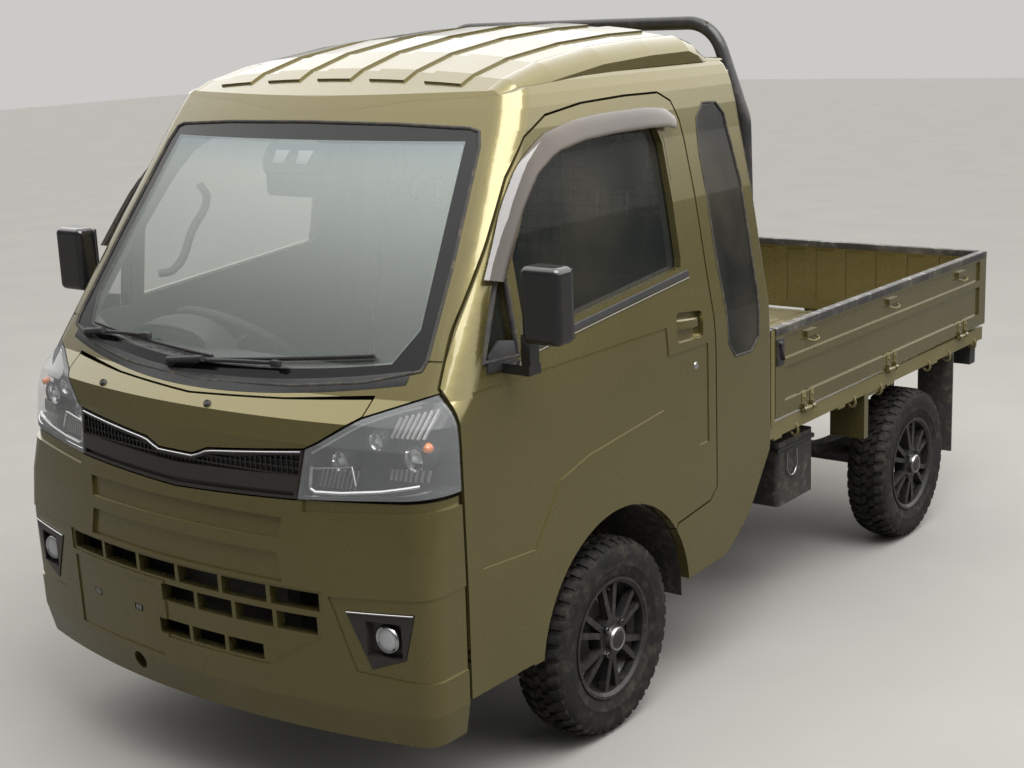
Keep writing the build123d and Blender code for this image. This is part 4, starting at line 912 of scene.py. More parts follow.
belt_low = spread([(-0.360, 1.106, 0), (0.405, 1.178, 0)], 18)
belt_high = spread([(-0.360, 1.124, 0), (0.405, 1.196, 0)], 18)
belt_rows = []
for share, proud in ((0.0, 0.0006), (0.12, 0.0046), (0.88, 0.0046), (1.0, 0.0006)):
    belt_rows.append([on_side(*(a.lerp(b, share).xy), proud) for a, b in zip(belt_low, belt_high)])
pair(band(belt_rows, 0.0015), "belt_rubber", trim_black, "door_left")
bright_line = tube([on_side(s, z - 0.004, 0.0018) for s, z, _ in belt_low], 0.0016, False, False)
pair(bright_line, "belt_bright_line", bright_steel, "door_left")

around = SCREEN + [(-x, z) for x, z in reversed(SCREEN[1:-1])]
screen_line = [front_skin("windscreen", x * 0.992, 1.34 + (z - 1.34) * 0.992, 0.0005)
               for x, z in loop_between(around, 4)]
fit(tube(screen_line, 0.0048, True, False), "windscreen_rubber", flap_rubber, "root")
print("window rubbers fitted")

# %% [markdown]
# The cowl is the black strip between the lid and the glass, and the wipers stand on it. Each wiper is a
# pivot cap, a cranked arm, a spring cover, and a blade that bends with the glass. The points come from
# the windscreen, a little proud of it.

# %% Cowl and wipers
WIPERS = {"outer": ((-0.525, 1.098), (-0.235, 1.118), (-0.500, 1.122), (0.030, 1.098)),
          "inner": ((-0.118, 1.056), (0.245, 1.098), (-0.030, 1.086), (0.500, 1.132))}


def cowl():
    """Black strip under the windscreen's lower edge."""
    xs = [-0.600 + 1.200 * i / 40 for i in range(41)]
    rows = []
    for drop, proud in ((0.011, 0.0008), (0.004, 0.0020), (-0.012, 0.0022), (-0.016, 0.0006)):
        row = []
        for x in xs:
            z = 1.046 + 0.128 * x * x - drop
            node = "windscreen" if drop < 0 else "cab_shell"
            row.append(front_skin(node, x, z + (0.002 if drop < 0 else 0), proud))
        rows.append(row)
    return band(rows, 0.0012)


def wiper(pivot, elbow, blade_from, blade_to):
    """One wiper: cap, arm, spring cover, blade spine and clip as one mesh, and the blade's rubber as another.
    """
    hub, normal = touch("windscreen", (pivot[0], -3, max(pivot[1], 1.075)), (0, 1, 0))
    hub = Vector((pivot[0], hub.y, hub.z)) + normal * 0.002
    cap = disc(hub - normal * 0.001, normal, 0.015, 0.016, 24, 0.8, 0.003)
    end = front_skin("windscreen", *elbow, 0.019)
    middle = hub.lerp(end, 0.5) + normal * 0.012
    arm = tube([hub + normal * 0.012, middle, end], 0.0050)
    spring_run = [hub + normal * 0.013, hub.lerp(middle, 0.75) + normal * 0.014]
    spring_cover = tube(spring_run, 0.0085, round_off=False)
    blade_line, spine_line = [], []
    for i in range(13):
        x = blade_from[0] + (blade_to[0] - blade_from[0]) * i / 12
        z = blade_from[1] + (blade_to[1] - blade_from[1]) * i / 12
        blade_line.append(front_skin("windscreen", x, z, 0.0030))
        spine_line.append(front_skin("windscreen", x, z, 0.0125))
    rubber = tube(blade_line, 0.0026, False, False, 1)
    spine = tube(spine_line, 0.0046, False, False, 2)
    clip = pad_box([c - 0.013 if i == 0 else c - 0.009 for i, c in enumerate(end)],
                   [c + 0.013 if i == 0 else c + 0.007 for i, c in enumerate(end)], 0.002)
    return join([cap, arm, spring_cover, spine, clip]), rubber


fit(cowl(), "cowl_strip", trim_black, "root")
for label, places in WIPERS.items():
    arm, rubber = wiper(*places)
    fit(arm, f"wiper_arm_{label}", trim_black, "root")
    fit(rubber, f"wiper_rubber_{label}", flap_rubber, "root")
print("cowl and wipers fitted")

# %% [markdown]
# Two small washer jets sit on the lid. A jet is a low rounded block with a sunk mouth: the top face is
# inset and pushed down.


# %% Washer jets
def jet(x, z):
    """One washer jet on the lid."""
    place, normal = touch("front_lid", (x, -3, z), (0, 1, 0))
    body = disc(place - normal * 0.001, normal, 0.0110, 0.0085, 20, 0.70, 0.002)
    return sink(body, normal, (0.003, 0.002), facing=0.85)


for side, x in (("left", 0.085), ("right", -0.335)):
    fit(jet(x, 1.008), f"washer_jet_{side}", trim_black, "front_lid")
print("washer jets fitted")

# %% [markdown]
# The headlamp's bowl, barrels and clear cover are solids. Inside go the parts that give it life: polished
# reflector cups with a glass bulb dome, a bright angled frame with slanted ribs in it, an upright fluted
# reflector and an amber bulb at the outer end, a bright brow along the top and a strip along the bottom.

# %% Headlamp fittings
BARRELS = [(0.474, 0.908, 0.0255, -0.742), (0.566, 0.962, 0.0215, -0.716), (0.655, 0.925, 0.0285, -0.690)]


def in_lamp(x, z, depth):
    """A point behind the headlamp's cover."""
    return front_skin("headlamp_lenses", x, z) + Vector((0, depth, 0))


def reflector_cup(x, z, radius, station):
    """A polished bowl with a glass dome in the middle."""
    mouth = Vector((x, back(station + 0.013), z))
    cup = disc(mouth, (0, -1, 0), radius, 0.010, 32, 1.0, 0.0008)
    sink(cup, (0, -1, 0), (radius * 0.12, 0.004), (radius * 0.2, 0.006), (radius * 0.3, 0.005))
    dome = disc(mouth + Vector((0, 0.001, 0)), (0, -1, 0), radius * 0.42, radius * 0.50, 24, 0.55,
                radius * 0.12)
    return cup, dome


def strip_in_lamp(line, depth, radius, count=14):
    """A bright bar that follows the cover at some depth behind it."""
    points = spread([(x, z, 0) for x, z in line], count)
    return tube([in_lamp(p.x, p.y, depth) for p in points], radius, False, False, 2)


cups, domes = [], []
for place in BARRELS:
    cup, dome = reflector_cup(*place)
    cups.append(cup)
    domes.append(dome)
pair(join(cups), "lamp_reflectors", chrome, "root")
bulb = tinted("bulb_glass", (0.80, 0.84, 0.88), 0.55, rough=0.03).material
pair(join(domes), "lamp_bulbs", bulb, "root")

brow = strip_in_lamp([(0.420, 0.930), (0.450, 0.947), (0.535, 1.000), (0.610, 1.028), (0.655, 1.040)],
                     0.010, 0.0035)
angle = strip_in_lamp([(0.418, 0.898), (0.415, 0.848), (0.424, 0.838), (0.500, 0.842), (0.600, 0.854),
                       (0.690, 0.872)], 0.014, 0.0055, 20)
inner_bar = strip_in_lamp([(0.424, 0.893), (0.520, 0.905), (0.532, 0.862)], 0.018, 0.0030)
lower = strip_in_lamp([(0.405, 0.829), (0.520, 0.836), (0.640, 0.848), (0.712, 0.862)], 0.006, 0.0022)
pair(join([brow, angle, inner_bar, lower]), "lamp_bright_frame", chrome, "root")

# Count, first x, pitch, foot, head, rise of the head, lean, depth, radius and roundness of each row of ribs
RIB_ROWS = ((9, 0.432, 0.0115, 0.850, 0.894, 0.0, 0.010, 0.026, 0.0021, 1),
            (8, 0.612, 0.0118, 0.880, 0.905, 0.0, 0.004, 0.030, 0.0046, 2),
            (7, 0.604, 0.0125, 0.972, 1.014, 0.003, 0.006, 0.032, 0.0050, 2))
ribs = []
for count, first, pitch, foot, head, rise, lean, depth, radius, sides in RIB_ROWS:
    for i in range(count):
        x = first + i * pitch
        ends = [in_lamp(x, foot, depth), in_lamp(x + lean, head + i * rise, depth)]
        ribs.append(tube(ends, radius, round_off=False, sides=sides))
pair(join(ribs), "lamp_fluted_reflector", bright_steel, "root")
turn_bulb = disc(in_lamp(0.690, 0.955, 0.036), (0.25, -1, 0), 0.012, 0.018, 24, 0.6, 0.004)
pair(turn_bulb, "lamp_turn_bulb", amber_lens, "root")
print("headlamps dressed")

# %% [markdown]
# The grille gets the bright line along its upper edge and small upright fins between its slats. The fog
# lamps are a ring, a pale glass and a thin bright line on the bezel's upper edge.

# %% Grille and fog lamps
GRILLE_TOP = [(-0.396, 0.931), (-0.112, 0.903), (-0.066, 0.8845), (0.066, 0.8845), (0.112, 0.903),
              (0.396, 0.931)]
top_points = spread([(x, z, 0) for x, z in GRILLE_TOP], 34)
line = tube([front_skin("grille", p.x, p.y, 0.0010) for p in top_points], 0.0022, False, False)
fit(line, "grille_bright_line", chrome, "root")

fins = []
for i in range(-24, 25):
    x = i * 0.0155
    high = 0.877 + max(0.0, abs(x) - 0.066) * 0.145
    low = 0.864 + abs(x) * 0.026
    if high - low < 0.004:
        continue
    foot = front_skin("grille", x, 0.850) + Vector((0, 0.0125, 0))
    fin = pad_box((x - 0.0012, foot.y - 0.003, low), (x + 0.0012, foot.y + 0.004, high), 0.0005, 1)
    fins.append(fin)
fit(join(fins), "grille_fins", gloss_black, "root")

fog_face = Vector((0.616, back(-0.768), 0.512))
fog_ring = disc(fog_face, (0, -1, 0), 0.0345, 0.0050, 40, 0.92, 0.0015)
sink(fog_ring, (0, -1, 0), (0.0055, 0.0045))
pair(fog_ring, "fog_lamp_ring", chrome, "root")
fog_glass = disc(fog_face + Vector((0, -0.0008, 0)), (0, -1, 0), 0.0275, 0.0042, 40, 0.7, 0.0015)
fog_lens = tinted("fog_glass", (0.55, 0.58, 0.60), 0.75, rough=0.04).material
pair(fog_glass, "fog_lamp_glass", fog_lens, "root")
(x0, z0), (x1, z1) = (0.524, 0.5715), (0.692, 0.5800)
edge = [(x0 + (x1 - x0) * i / 10, z0 + (z1 - z0) * i / 10) for i in range(11)]
fog_edge = tube([front_skin("fog_lamps", x, z, 0.0006) for x, z in edge], 0.0020, False, False)
pair(fog_edge, "fog_bright_line", chrome, "root")
print("grille and fog lamps dressed")

# %% [markdown]
# On the bumper sit two spring clips, in the bare plate panel, and a rim round the socket for the tow eye.

# %% Bumper fittings
for side, x in (("outer", -0.355), ("inner", -0.169)):
    spot = front_skin("front_bumper", x, 0.475)
    clip = pad_box((x - 0.011, spot.y - 0.0006, 0.4485), (x + 0.011, spot.y + 0.010, 0.4635), 0.0015)
    sink(clip, (0, -1, 0), (0.003, 0.003))
    fit(clip, f"plate_clip_{side}", bright_steel, "root")
tow_cover = disc((-0.190, back(-0.8050), 0.305), (0, -1, 0), 0.0225, 0.004, 32, 0.96, 0.001)
sink(tow_cover, (0, -1, 0), (0.010, 0.0035))
fit(tow_cover, "tow_socket_rim", black_steel, "root")
print("bumper fittings fitted")

# %% [markdown]
# The door handle is a pull in a sunk cup, with a round lock below it. The pull is a band bowed outwards,
# so fingers fit behind it; the lock is a turned disc whose face is inset twice, first down and then up.

# %% Door handles and locks
HANDLE = [(0.312, 1.058), (0.440, 1.048)]


def handle():
    """Left door's pull, across its cup."""
    rows = []
    for up, lift in ((-0.015, 0.0), (-0.010, 0.004), (0.010, 0.005), (0.015, 0.001)):
        row = []
        for i in range(11):
            t = i / 10
            s = HANDLE[0][0] + (HANDLE[1][0] - HANDLE[0][0]) * t
            z = HANDLE[0][1] + (HANDLE[1][1] - HANDLE[0][1]) * t
            bow = 0.0015 - 0.012 * (2 * t - 1) ** 4
            row.append(on_side(s, z + up, bow + lift - 0.0055))
        rows.append(row)
    return band(rows, 0.005, round_by=0.001)


pair(handle(), "door_pull", body_paint, "door_left")
lock = disc(on_side(0.401, 0.931, -0.0045), (1, 0, 0), 0.0115, 0.0032, 32, 0.86, 0.0008)
sink(lock, (1, 0, 0), (0.004, 0.0012), (0.003, -0.0010))
pair(lock, "door_lock", chrome, "door_left")
print("door handles and locks fitted")

# %% [markdown]
# Mirrors: the head and arm are solids; the glass with its thin frame goes on the rear face, and a black
# plate covers the lower corner of the front pane where the arm is bolted on.

# %% Mirrors
MIRROR_BACK = back(-0.385)
frame_plate = pad_box((0.797, MIRROR_BACK - 0.003, 1.168), (0.893, MIRROR_BACK + 0.0030, 1.332), 0.012, 4)
sink(frame_plate, (0, 1, 0), (0.005, 0.0018), facing=0.95, near=lambda c: abs(c.x - 0.845) < 0.02)
pair(frame_plate, "mirror_frame", trim_black, "door_left")
shine = pad_box((0.8035, MIRROR_BACK + 0.0005, 1.1745), (0.8865, MIRROR_BACK + 0.0022, 1.3255), 0.009, 4)
pair(shine, "mirror_glass", mirror_glass, "door_left")
foot_line = [(-0.500, 1.094), (-0.385, 1.090), (-0.385, 1.150), (-0.440, 1.160), (-0.488, 1.130)]
foot = outward(sheet_of([on_side(s, z, 0.0055) for s, z in foot_line], 0.009))
modify(foot, "BEVEL", width=0.003, segments=2, limit_method="ANGLE", angle_limit=radians(40))
pair(foot, "mirror_foot", trim_black, "door_left")
print("mirrors fitted")

# %% [markdown]
# The bed works for its living. Each gate wears a folded black guard along its top edge, a latch at its
# front corner, round bars under the pressed rope hooks, and hinge leaves below. The guard is an open
# channel: a block whose lower face is taken out and whose walls then get their thickness.

# %% Bed guards, hooks and latches
GATE_OUT = 0.722
GATE_IN = 0.696
GATE_FRONT = back(0.875)
TAIL_OUT = back(2.5215)
TAIL_IN = back(2.4955)
TAIL_HALF = 0.691
GUARD_LOW, GUARD_HIGH = 0.9225, 0.9466

worn_black = Finish("worn_black", Coat_Weight=0.15, Coat_Roughness=0.3)
rub = worn_black.noise(16, detail=7, stretch=(1, 2.2, 1), rough=0.75).ramp(0.50, 0.66)
top_wear = worn_black.z.ramp(0.9435, 0.9462)
scuff = rub * (top_wear * 0.8 + 0.2)
mudded = worn_black.noise(5, detail=5).ramp(0.40, 0.75) * 0.35
tone = worn_black.blend(mudded, (0.030, 0.029, 0.028), (0.20, 0.17, 0.12))
worn_black.set(Base_Color=worn_black.blend(scuff, tone, (0.36, 0.35, 0.32)), Roughness=0.45 + mudded * 0.4)
worn_black.bump(rub, 0.25, 0.0008)


def channel(low, high):
    """A folded edge guard: a block without its lower face, given a sheet's thickness."""
    start()
    middle = [(a + b) / 2 for a, b in zip(low, high)]
    bpy.ops.mesh.primitive_cube_add(size=1, location=middle, scale=[b - a for a, b in zip(low, high)])
    fold = settle(bpy.context.object)
    edit(fold)
    long_axis = 1 if high[1] - low[1] > high[0] - low[0] else 0
    bpy.ops.mesh.select_mode(type="FACE")
    pick(lambda c, n: n.z < -0.9 or abs(n[long_axis]) > 0.9)
    bpy.ops.mesh.delete(type="FACE")
    bpy.ops.mesh.select_mode(type="EDGE")
    pick(lambda c, d: abs(Vector(d).normalized()[long_axis]) > 0.9 and c.z > high[2] - 0.001, "edge")
    bpy.ops.mesh.bevel(offset=0.004, segments=3, affect="EDGES")
    bpy.ops.mesh.select_mode(type="VERT")
    bpy.ops.object.mode_set(mode="OBJECT")
    modify(fold, "SOLIDIFY", thickness=0.0012, offset=-1.0)
    edit(fold)
    bpy.ops.mesh.subdivide(number_cuts=1)
    bpy.ops.object.mode_set(mode="OBJECT")
    return outward(fold)


side_guard = channel((GATE_IN - 0.0016, GATE_FRONT + 0.002, GUARD_LOW),
                     (GATE_OUT + 0.0016, TAIL_OUT - 0.002, GUARD_HIGH))
pair(side_guard, "gate_guard", worn_black.material, "gate_left")
tail_guard = channel((-TAIL_HALF + 0.002, TAIL_IN - 0.0016, GUARD_LOW),
                     (TAIL_HALF - 0.002, TAIL_OUT + 0.0016, GUARD_HIGH))
fit(tail_guard, "tail_guard", worn_black.material, "gate_tail")
head_guard = channel((-0.7215, back(0.8470), GUARD_LOW), (0.7215, back(0.8710), GUARD_HIGH))
fit(head_guard, "headboard_guard", worn_black.material, "root")

ROPE_HOOKS = (1.110, 1.700, 2.290)
bars = []
for s in ROPE_HOOKS:
    y = back(s)
    bars.append(tube([(GATE_OUT - 0.004, y - 0.030, 0.878), (GATE_OUT + 0.0105, y - 0.026, 0.874),
                      (GATE_OUT + 0.0115, y, 0.869), (GATE_OUT + 0.0105, y + 0.026, 0.874),
                      (GATE_OUT - 0.004, y + 0.030, 0.878)], 0.0030))
pair(join(bars), "rope_hook_bars", bed_paint, "gate_left")

leaves = []
for s in (1.080, 1.690, 2.300):
    y = back(s)
    for off in (-0.027, 0.027):
        leaf = pad_box((GATE_OUT - 0.001, y + off - 0.011, 0.676),
                       (GATE_OUT + 0.0030, y + off + 0.011, 0.716), 0.0012)
        bolt = disc((GATE_OUT + 0.0025, y + off, 0.700), (1, 0, 0), 0.0055, 0.0045, 6, 0.9, 0.0008)
        leaves += [leaf, bolt]
pair(join(leaves), "gate_hinge_leaves", bed_paint, "gate_left")

y = back(0.895)
plate = pad_box((GATE_OUT - 0.0005, y - 0.014, 0.830), (GATE_OUT + 0.0040, y + 0.030, 0.912), 0.0015)
lever = tube([(GATE_OUT + 0.0065, y + 0.002, 0.900), (GATE_OUT + 0.0105, y + 0.004, 0.872),
              (GATE_OUT + 0.0085, y + 0.020, 0.846)], 0.0042)
pivot = disc((GATE_OUT + 0.003, y + 0.002, 0.898), (1, 0, 0), 0.0085, 0.0105, 20, 0.85, 0.0015)
pair(join([plate, lever, pivot]), "gate_latch", black_steel, "gate_left")

tail_latches = []
for x in (-0.655, 0.655):
    plate = pad_box((x - 0.020, TAIL_OUT - 0.0005, 0.835), (x + 0.020, TAIL_OUT + 0.0040, 0.910), 0.0015)
    lever = tube([(x, TAIL_OUT + 0.0062, 0.900), (x * 0.985, TAIL_OUT + 0.0090, 0.872),
                  (x * 0.960, TAIL_OUT + 0.0075, 0.850)], 0.0038)
    pivot = disc((x, TAIL_OUT + 0.003, 0.898), (0, 1, 0), 0.0085, 0.0085, 20, 0.85, 0.0015)
    tail_latches += [plate, lever, pivot]
fit(join(tail_latches), "tail_gate_latches", black_steel, "gate_tail")
print("bed fitted out")

# %% [markdown]
# Rope hooks also hang below the bed's side rails. One hook is bent from round bar as a curve and then
# repeated along the rail with a mesh of its own each time.

# %% Hooks under the rails
hook = tube([(0.7130, 0, 0.622), (0.7200, 0, 0.606), (0.7180, 0, 0.590), (0.7060, 0, 0.584),
             (0.6960, 0, 0.592)], 0.0042)
hooks = [twin(hook, Matrix.Translation((0, back(s), 0))) for s in (1.02, 1.42, 1.62, 2.02, 2.20, 2.44)]
bpy.data.objects.remove(hook)
pair(join(hooks), "rail_rope_hooks", bed_paint, "root")

# %% [markdown]
# The hoop behind the cab is bolted through its feet and at its sides. Bolts are six-sided discs, on round
# washers where they hold a foot.

# %% Hoop fittings
HOOP_Y = back(0.902)
HOOP_FOOT_X, HOOP_FOOT_TOP = 0.625, 0.6625
bolts = []
for dx in (-0.034, 0.034):
    for dy in (-0.021, 0.021):
        x, y = HOOP_FOOT_X + dx, HOOP_Y + dy
        washer = disc((x, y, HOOP_FOOT_TOP), (0, 0, 1), 0.0080, 0.0014, 24, 1.0, 0.0004)
        head = disc((x, y, HOOP_FOOT_TOP + 0.0012), (0, 0, 1), 0.0060, 0.0050, 6, 0.92, 0.0008)
        bolts += [washer, head]
pair(join(bolts), "hoop_bolts", bright_steel, "root")
caps = []
for x, z in ((0.560, 1.700), (0.4935, 1.8425)):
    caps.append(disc((x, HOOP_Y - 0.0205, z), (0, -1, 0), 0.0060, 0.0045, 6, 0.9, 0.0008))
pair(join(caps), "hoop_side_bolts", bright_steel, "root")
print("hoop bolted")

# %% [markdown]
# At the rear: each lamp is a black box with three raised windows, red, amber and white. Between them
# hangs a bare plate bracket with its small light, and the gate's lower edge carries two round reflectors.

# %% Rear lamps and bracket
cover(nodes["tail_lamps"], trim_black)
white_lens = solid_lens("white_lens", (0.72, 0.72, 0.70), 0.15)
LAMP_BACK = back(2.490)
for label, x0, x1, finish in (("stop", 0.608, 0.695, tail_lens), ("turn", 0.563, 0.605, amber_lens),
                              ("reverse", 0.525, 0.560, white_lens)):
    window = pad_box((x0, LAMP_BACK - 0.006, 0.527), (x1, LAMP_BACK + 0.010, 0.593), 0.005, 3)
    sink(window, (0, 1, 0), (0.006, -0.0025), facing=0.95)
    pair(window, f"rear_{label}_window", finish, "root")
reflectors = []
for x in (-0.560, 0.560):
    dish = disc((x, TAIL_OUT - 0.0005, 0.700), (0, 1, 0), 0.026, 0.007, 32, 0.93, 0.002)
    reflectors.append(sink(dish, (0, 1, 0), (0.004, 0.0015)))
fit(join(reflectors), "rear_reflectors", tail_lens, "gate_tail")
bracket = pad_box((-0.170, back(2.440), 0.470), (0.170, back(2.4435), 0.585), 0.0015)
sink(bracket, (0, 1, 0), (0.012, 0.0018), facing=0.95)
stay_left = pad_box((0.120, back(2.400), 0.560), (0.140, back(2.441), 0.596), 0.002)
stay_right = pad_box((-0.140, back(2.400), 0.560), (-0.120, back(2.441), 0.596), 0.002)
fit(join([bracket, stay_left, stay_right]), "plate_bracket", black_steel, "root")
hood = pad_box((-0.045, back(2.438), 0.586), (0.045, back(2.470), 0.604), 0.005, 3)
sink(hood, (0, 0, -1), (0.005, 0.006))
fit(hood, "plate_light", trim_black, "root")
print("rear dressed")

# %% [markdown]
# Behind the glass of the windscreen sits a twin-eyed driver's-aid housing, with the driving mirror below
# it. The housing hugs the glass, so its front row of points is the windscreen's own surface, moved inwards.


# %% Things behind the windscreen
def behind_screen(x, z, depth):
    """A point inside the cab, behind the windscreen at x and z."""
    return front_skin("windscreen", x, z) + Vector((0, depth, 0))


rows = []
for z, half in ((1.590, 0.105), (1.575, 0.112), (1.545, 0.108), (1.520, 0.088)):
    rows.append([behind_screen(half * (2 * i / 10 - 1), z, 0.009) for i in range(11)])
case = band(rows, 0.030, offset=1.0, round_by=0.003)
fit(case, "screen_sensor_case", trim_black, "root")
pale_window = tinted("sensor_window", (0.55, 0.57, 0.58), 0.85, rough=0.05).material
for side, middle in (("left", 0.042), ("right", -0.042)):
    rows = []
    for z, half in ((1.572, 0.026), (1.540, 0.019)):
        rows.append([behind_screen(middle + half * (2 * i / 4 - 1), z, 0.0072) for i in range(5)])
    fit(band(rows, 0.0012, round_by=0.0003), f"screen_sensor_window_{side}", pale_window, "root")

mirror_mid = behind_screen(0, 1.490, 0.075)
head = pad_box((-0.115, mirror_mid.y - 0.012, 1.452), (0.115, mirror_mid.y + 0.014, 1.522), 0.011, 4)
stem = tube([behind_screen(0, 1.545, 0.034), mirror_mid + Vector((0, 0.0, 0.026))], 0.006, round_off=False)
fit(join([head, stem]), "driving_mirror", trim_black, "root")
face = pad_box((-0.107, mirror_mid.y + 0.0135, 1.460), (0.107, mirror_mid.y + 0.0150, 1.514), 0.0006)
fit(face, "driving_mirror_glass", mirror_glass, "root")

GRIP_X = -0.560
grip_line = [(GRIP_X, back(-0.365), 1.215), (GRIP_X + 0.030, back(-0.335), 1.225),
             (GRIP_X + 0.040, back(-0.262), 1.330), (GRIP_X + 0.045, back(-0.205), 1.415),
             (GRIP_X + 0.020, back(-0.205), 1.450)]
fit(tube(grip_line, 0.0115), "pillar_grab_handle", pale_plastic, "root")
visors = [pad_box((x0, back(-0.235), 1.636), (x0 + 0.38, back(-0.095), 1.654), 0.008, 3)
          for x0 in (0.08, -0.46)]
fit(join(visors), "sun_visors", pale_plastic, "root")
print("windscreen things fitted")

# %% [markdown]
# The dashboard is one grained moulding with fittings on it: an instrument hood and face behind the
# handwheel, short dark bars for the demisters along the top, round air vents, a centre stack with knobs and
# a glovebox lid. Stalks, a gear lever and pedals follow. The solid's own top is found from above.


# %% Dashboard fittings
def dash_top(x, station, lift=0.0):
    """The dashboard's own top at x and a station, raised by lift."""
    place, _ = touch("dashboard", (x, back(station), 3), (0, 0, -1))
    return place + Vector((0, 0, lift))


COLUMN_X = -0.360
vents = []
for x0 in (-0.46, 0.14):
    for k in range(9):
        x = x0 + k * 0.038
        for station in (-0.590, -0.578):
            ends = [dash_top(x, station, 0.0012), dash_top(x + 0.030, station, 0.0012)]
            vents.append(tube(ends, 0.0022, round_off=False, sides=1))
fit(join(vents), "demister_slots", gloss_black, "root")

hood_rows = []
for t in range(5):
    s = -0.520 + 0.030 * t
    row = []
    for i in range(13):
        a = pi * i / 12
        x = COLUMN_X + 0.150 * cos(a) * (1.0 - 0.02 * t)
        z = dash_top(COLUMN_X, s).z - 0.006 + (0.055 + 0.012 * t) * sin(a) ** 0.6
        row.append((x, back(s), z))
    hood_rows.append(row)
binnacle = band(hood_rows, 0.004, offset=-1.0)
fit(binnacle, "instrument_hood", dash_plastic, "root")
dial_foot = dash_top(COLUMN_X, -0.47).z
dial_face = pad_box((-0.485, back(-0.470), dial_foot - 0.004),
                    (-0.235, back(-0.463), dial_foot + 0.050), 0.004)
fit(dial_face, "instrument_face", gloss_black, "root")
for i, x in enumerate((-0.600, -0.085, 0.085, 0.600)):
    ring = disc((x, back(-0.3975), 0.962), (0, 1, 0.18), 0.036, 0.014, 36, 0.94, 0.003)
    sink(ring, (0, 1, 0), (0.006, 0.006), facing=0.8)
    fit(ring, f"air_vent_{i}", gloss_black, "root")
stack = pad_box((-0.125, back(-0.402), 0.800), (0.095, back(-0.379), 0.915), 0.008, 3)
sink(stack, (0, 1, 0), (0.010, 0.003), facing=0.95)
fit(stack, "centre_stack", trim_black, "root")
knobs = [disc((x, back(-0.3815), 0.845), (0, 1, 0), 0.017, 0.016, 24, 0.85, 0.002)
         for x in (-0.085, -0.015, 0.055)]
fit(join(knobs), "heater_knobs", gloss_black, "root")
lid_line = pad_box((0.170, back(-0.3925), 0.815), (0.560, back(-0.3795), 0.915), 0.006, 3)
fit(lid_line, "glovebox_lid", dash_plastic, "root")
stalks = [tube([(COLUMN_X + side * out, back(station), z) for out, station, z in
                ((0.022, -0.335, 0.935), (0.090, -0.325, 0.945), (0.125, -0.318, 0.952))], 0.0070)
          for side in (-1, 1)]
fit(join(stalks), "column_stalks", trim_black, "root")
lever = tube([(-0.060, back(-0.395), 0.830), (-0.062, back(-0.335), 0.850),
              (-0.064, back(-0.300), 0.905)], 0.0075)
knob = disc((-0.064, back(-0.302), 0.898), (0, 0.15, 1), 0.019, 0.042, 24, 0.8, 0.006)
fit(join([lever, knob]), "gear_lever", trim_black, "root")
pedals = []
for x in (-0.445, -0.350, -0.265):
    arm = tube([(x, back(-0.548), 0.640), (x, back(-0.520), 0.520), (x, back(-0.500), 0.455)], 0.0065)
    pad = pad_box((x - 0.030, back(-0.505), 0.425), (x + 0.030, back(-0.490), 0.470), 0.004)
    pedals += [arm, pad]
fit(join(pedals), "pedals", black_steel, "root")
print("dashboard fitted out")

# %% [markdown]
# The seats are padded pieces. Each pad starts as a plain rounded block a little smaller than the seat it
# becomes. It is remeshed to an even skin, blown up gently as cloth for twenty frames, and no point may move
# further than a set distance. After that the sewn channels are pressed in and one subdivision is added.
# The left seat is modelled once, and the right one is its mirror image.

# %% Padding
PAD_VOXEL = 0.006
PAD_PRESSURE = 4.0
PAD_FRAMES = 20


def stuff(pad, reach, floor_z=None):
    """Swell a pad as a blown-up cloth; no point moves further than reach or below floor_z."""
    pad.data.remesh_voxel_size = PAD_VOXEL
    hold(pad)
    bpy.ops.object.voxel_remesh()
    before = [v.co.copy() for v in pad.data.vertices]
    cloth = pad.modifiers.new("stuffing", "CLOTH")
    cloth.settings.use_pressure = True
    cloth.settings.uniform_pressure_force = PAD_PRESSURE
    cloth.settings.effector_weights.gravity = 0
    for frame_number in range(1, PAD_FRAMES + 1):
        bpy.context.scene.frame_set(frame_number)
    bpy.ops.object.modifier_apply(modifier=cloth.name)
    bpy.context.scene.frame_set(1)
    for vertex, place in zip(pad.data.vertices, before):
        step = vertex.co - place
        vertex.co = place + step * min(1, reach / max(step.length, 1e-9))
        if floor_z is not None:
            vertex.co.z = max(vertex.co.z, floor_z)
    modify(pad, "SMOOTH", factor=0.5, iterations=4)
    modify(pad, "SUBSURF", levels=1, render_levels=1)
    return pad


def sew(pad, distance_to_seam, width, depth, facing):
    """Press a channel into a pad along a line; distance_to_seam gives how far a point is from it."""
    directions = [v.normal.copy() for v in pad.data.vertices]
    for vertex, direction in zip(pad.data.vertices, directions):
        if direction.dot(Vector(facing)) > 0.35:
            near = exp(-(distance_to_seam(vertex.co) / width) ** 2)
            vertex.co -= direction * depth * near
    pad.data.update()
    return pad


def profile_block(line, x0, x1, round_by):
    """A block between two widths from a side outline of stations and heights, with rounded edges."""
    block = sheet_of([(x0, back(s), z) for s, z in line], x1 - x0, offset=1.0)
    settle(block)
    outward(block)
    low = min(v.co.x for v in block.data.vertices)
    for vertex in block.data.vertices:
        vertex.co.x += x0 - low
    return bevel_all(block, round_by, 4)


# %% [markdown]
# A seat has a flat cushion with a raised rim on each side, a reclined back with the same rim, and a small
# headrest on two posts.

# %% Seats
CUSHION_LOW, CUSHION_HIGH = (0.128, back(-0.047), 0.6665), (0.587, back(0.405), 0.776)
BACK_OUTLINE = [(0.432, 0.700), (0.528, 0.700), (0.594, 1.318), (0.534, 1.330), (0.455, 0.830)]
HEAD_OUTLINE = [(0.539, 1.386), (0.600, 1.378), (0.611, 1.529), (0.569, 1.536)]
CROSS_SEAMS = (0.095, 0.250)
BACK_SEAMS = (0.980, 1.150)

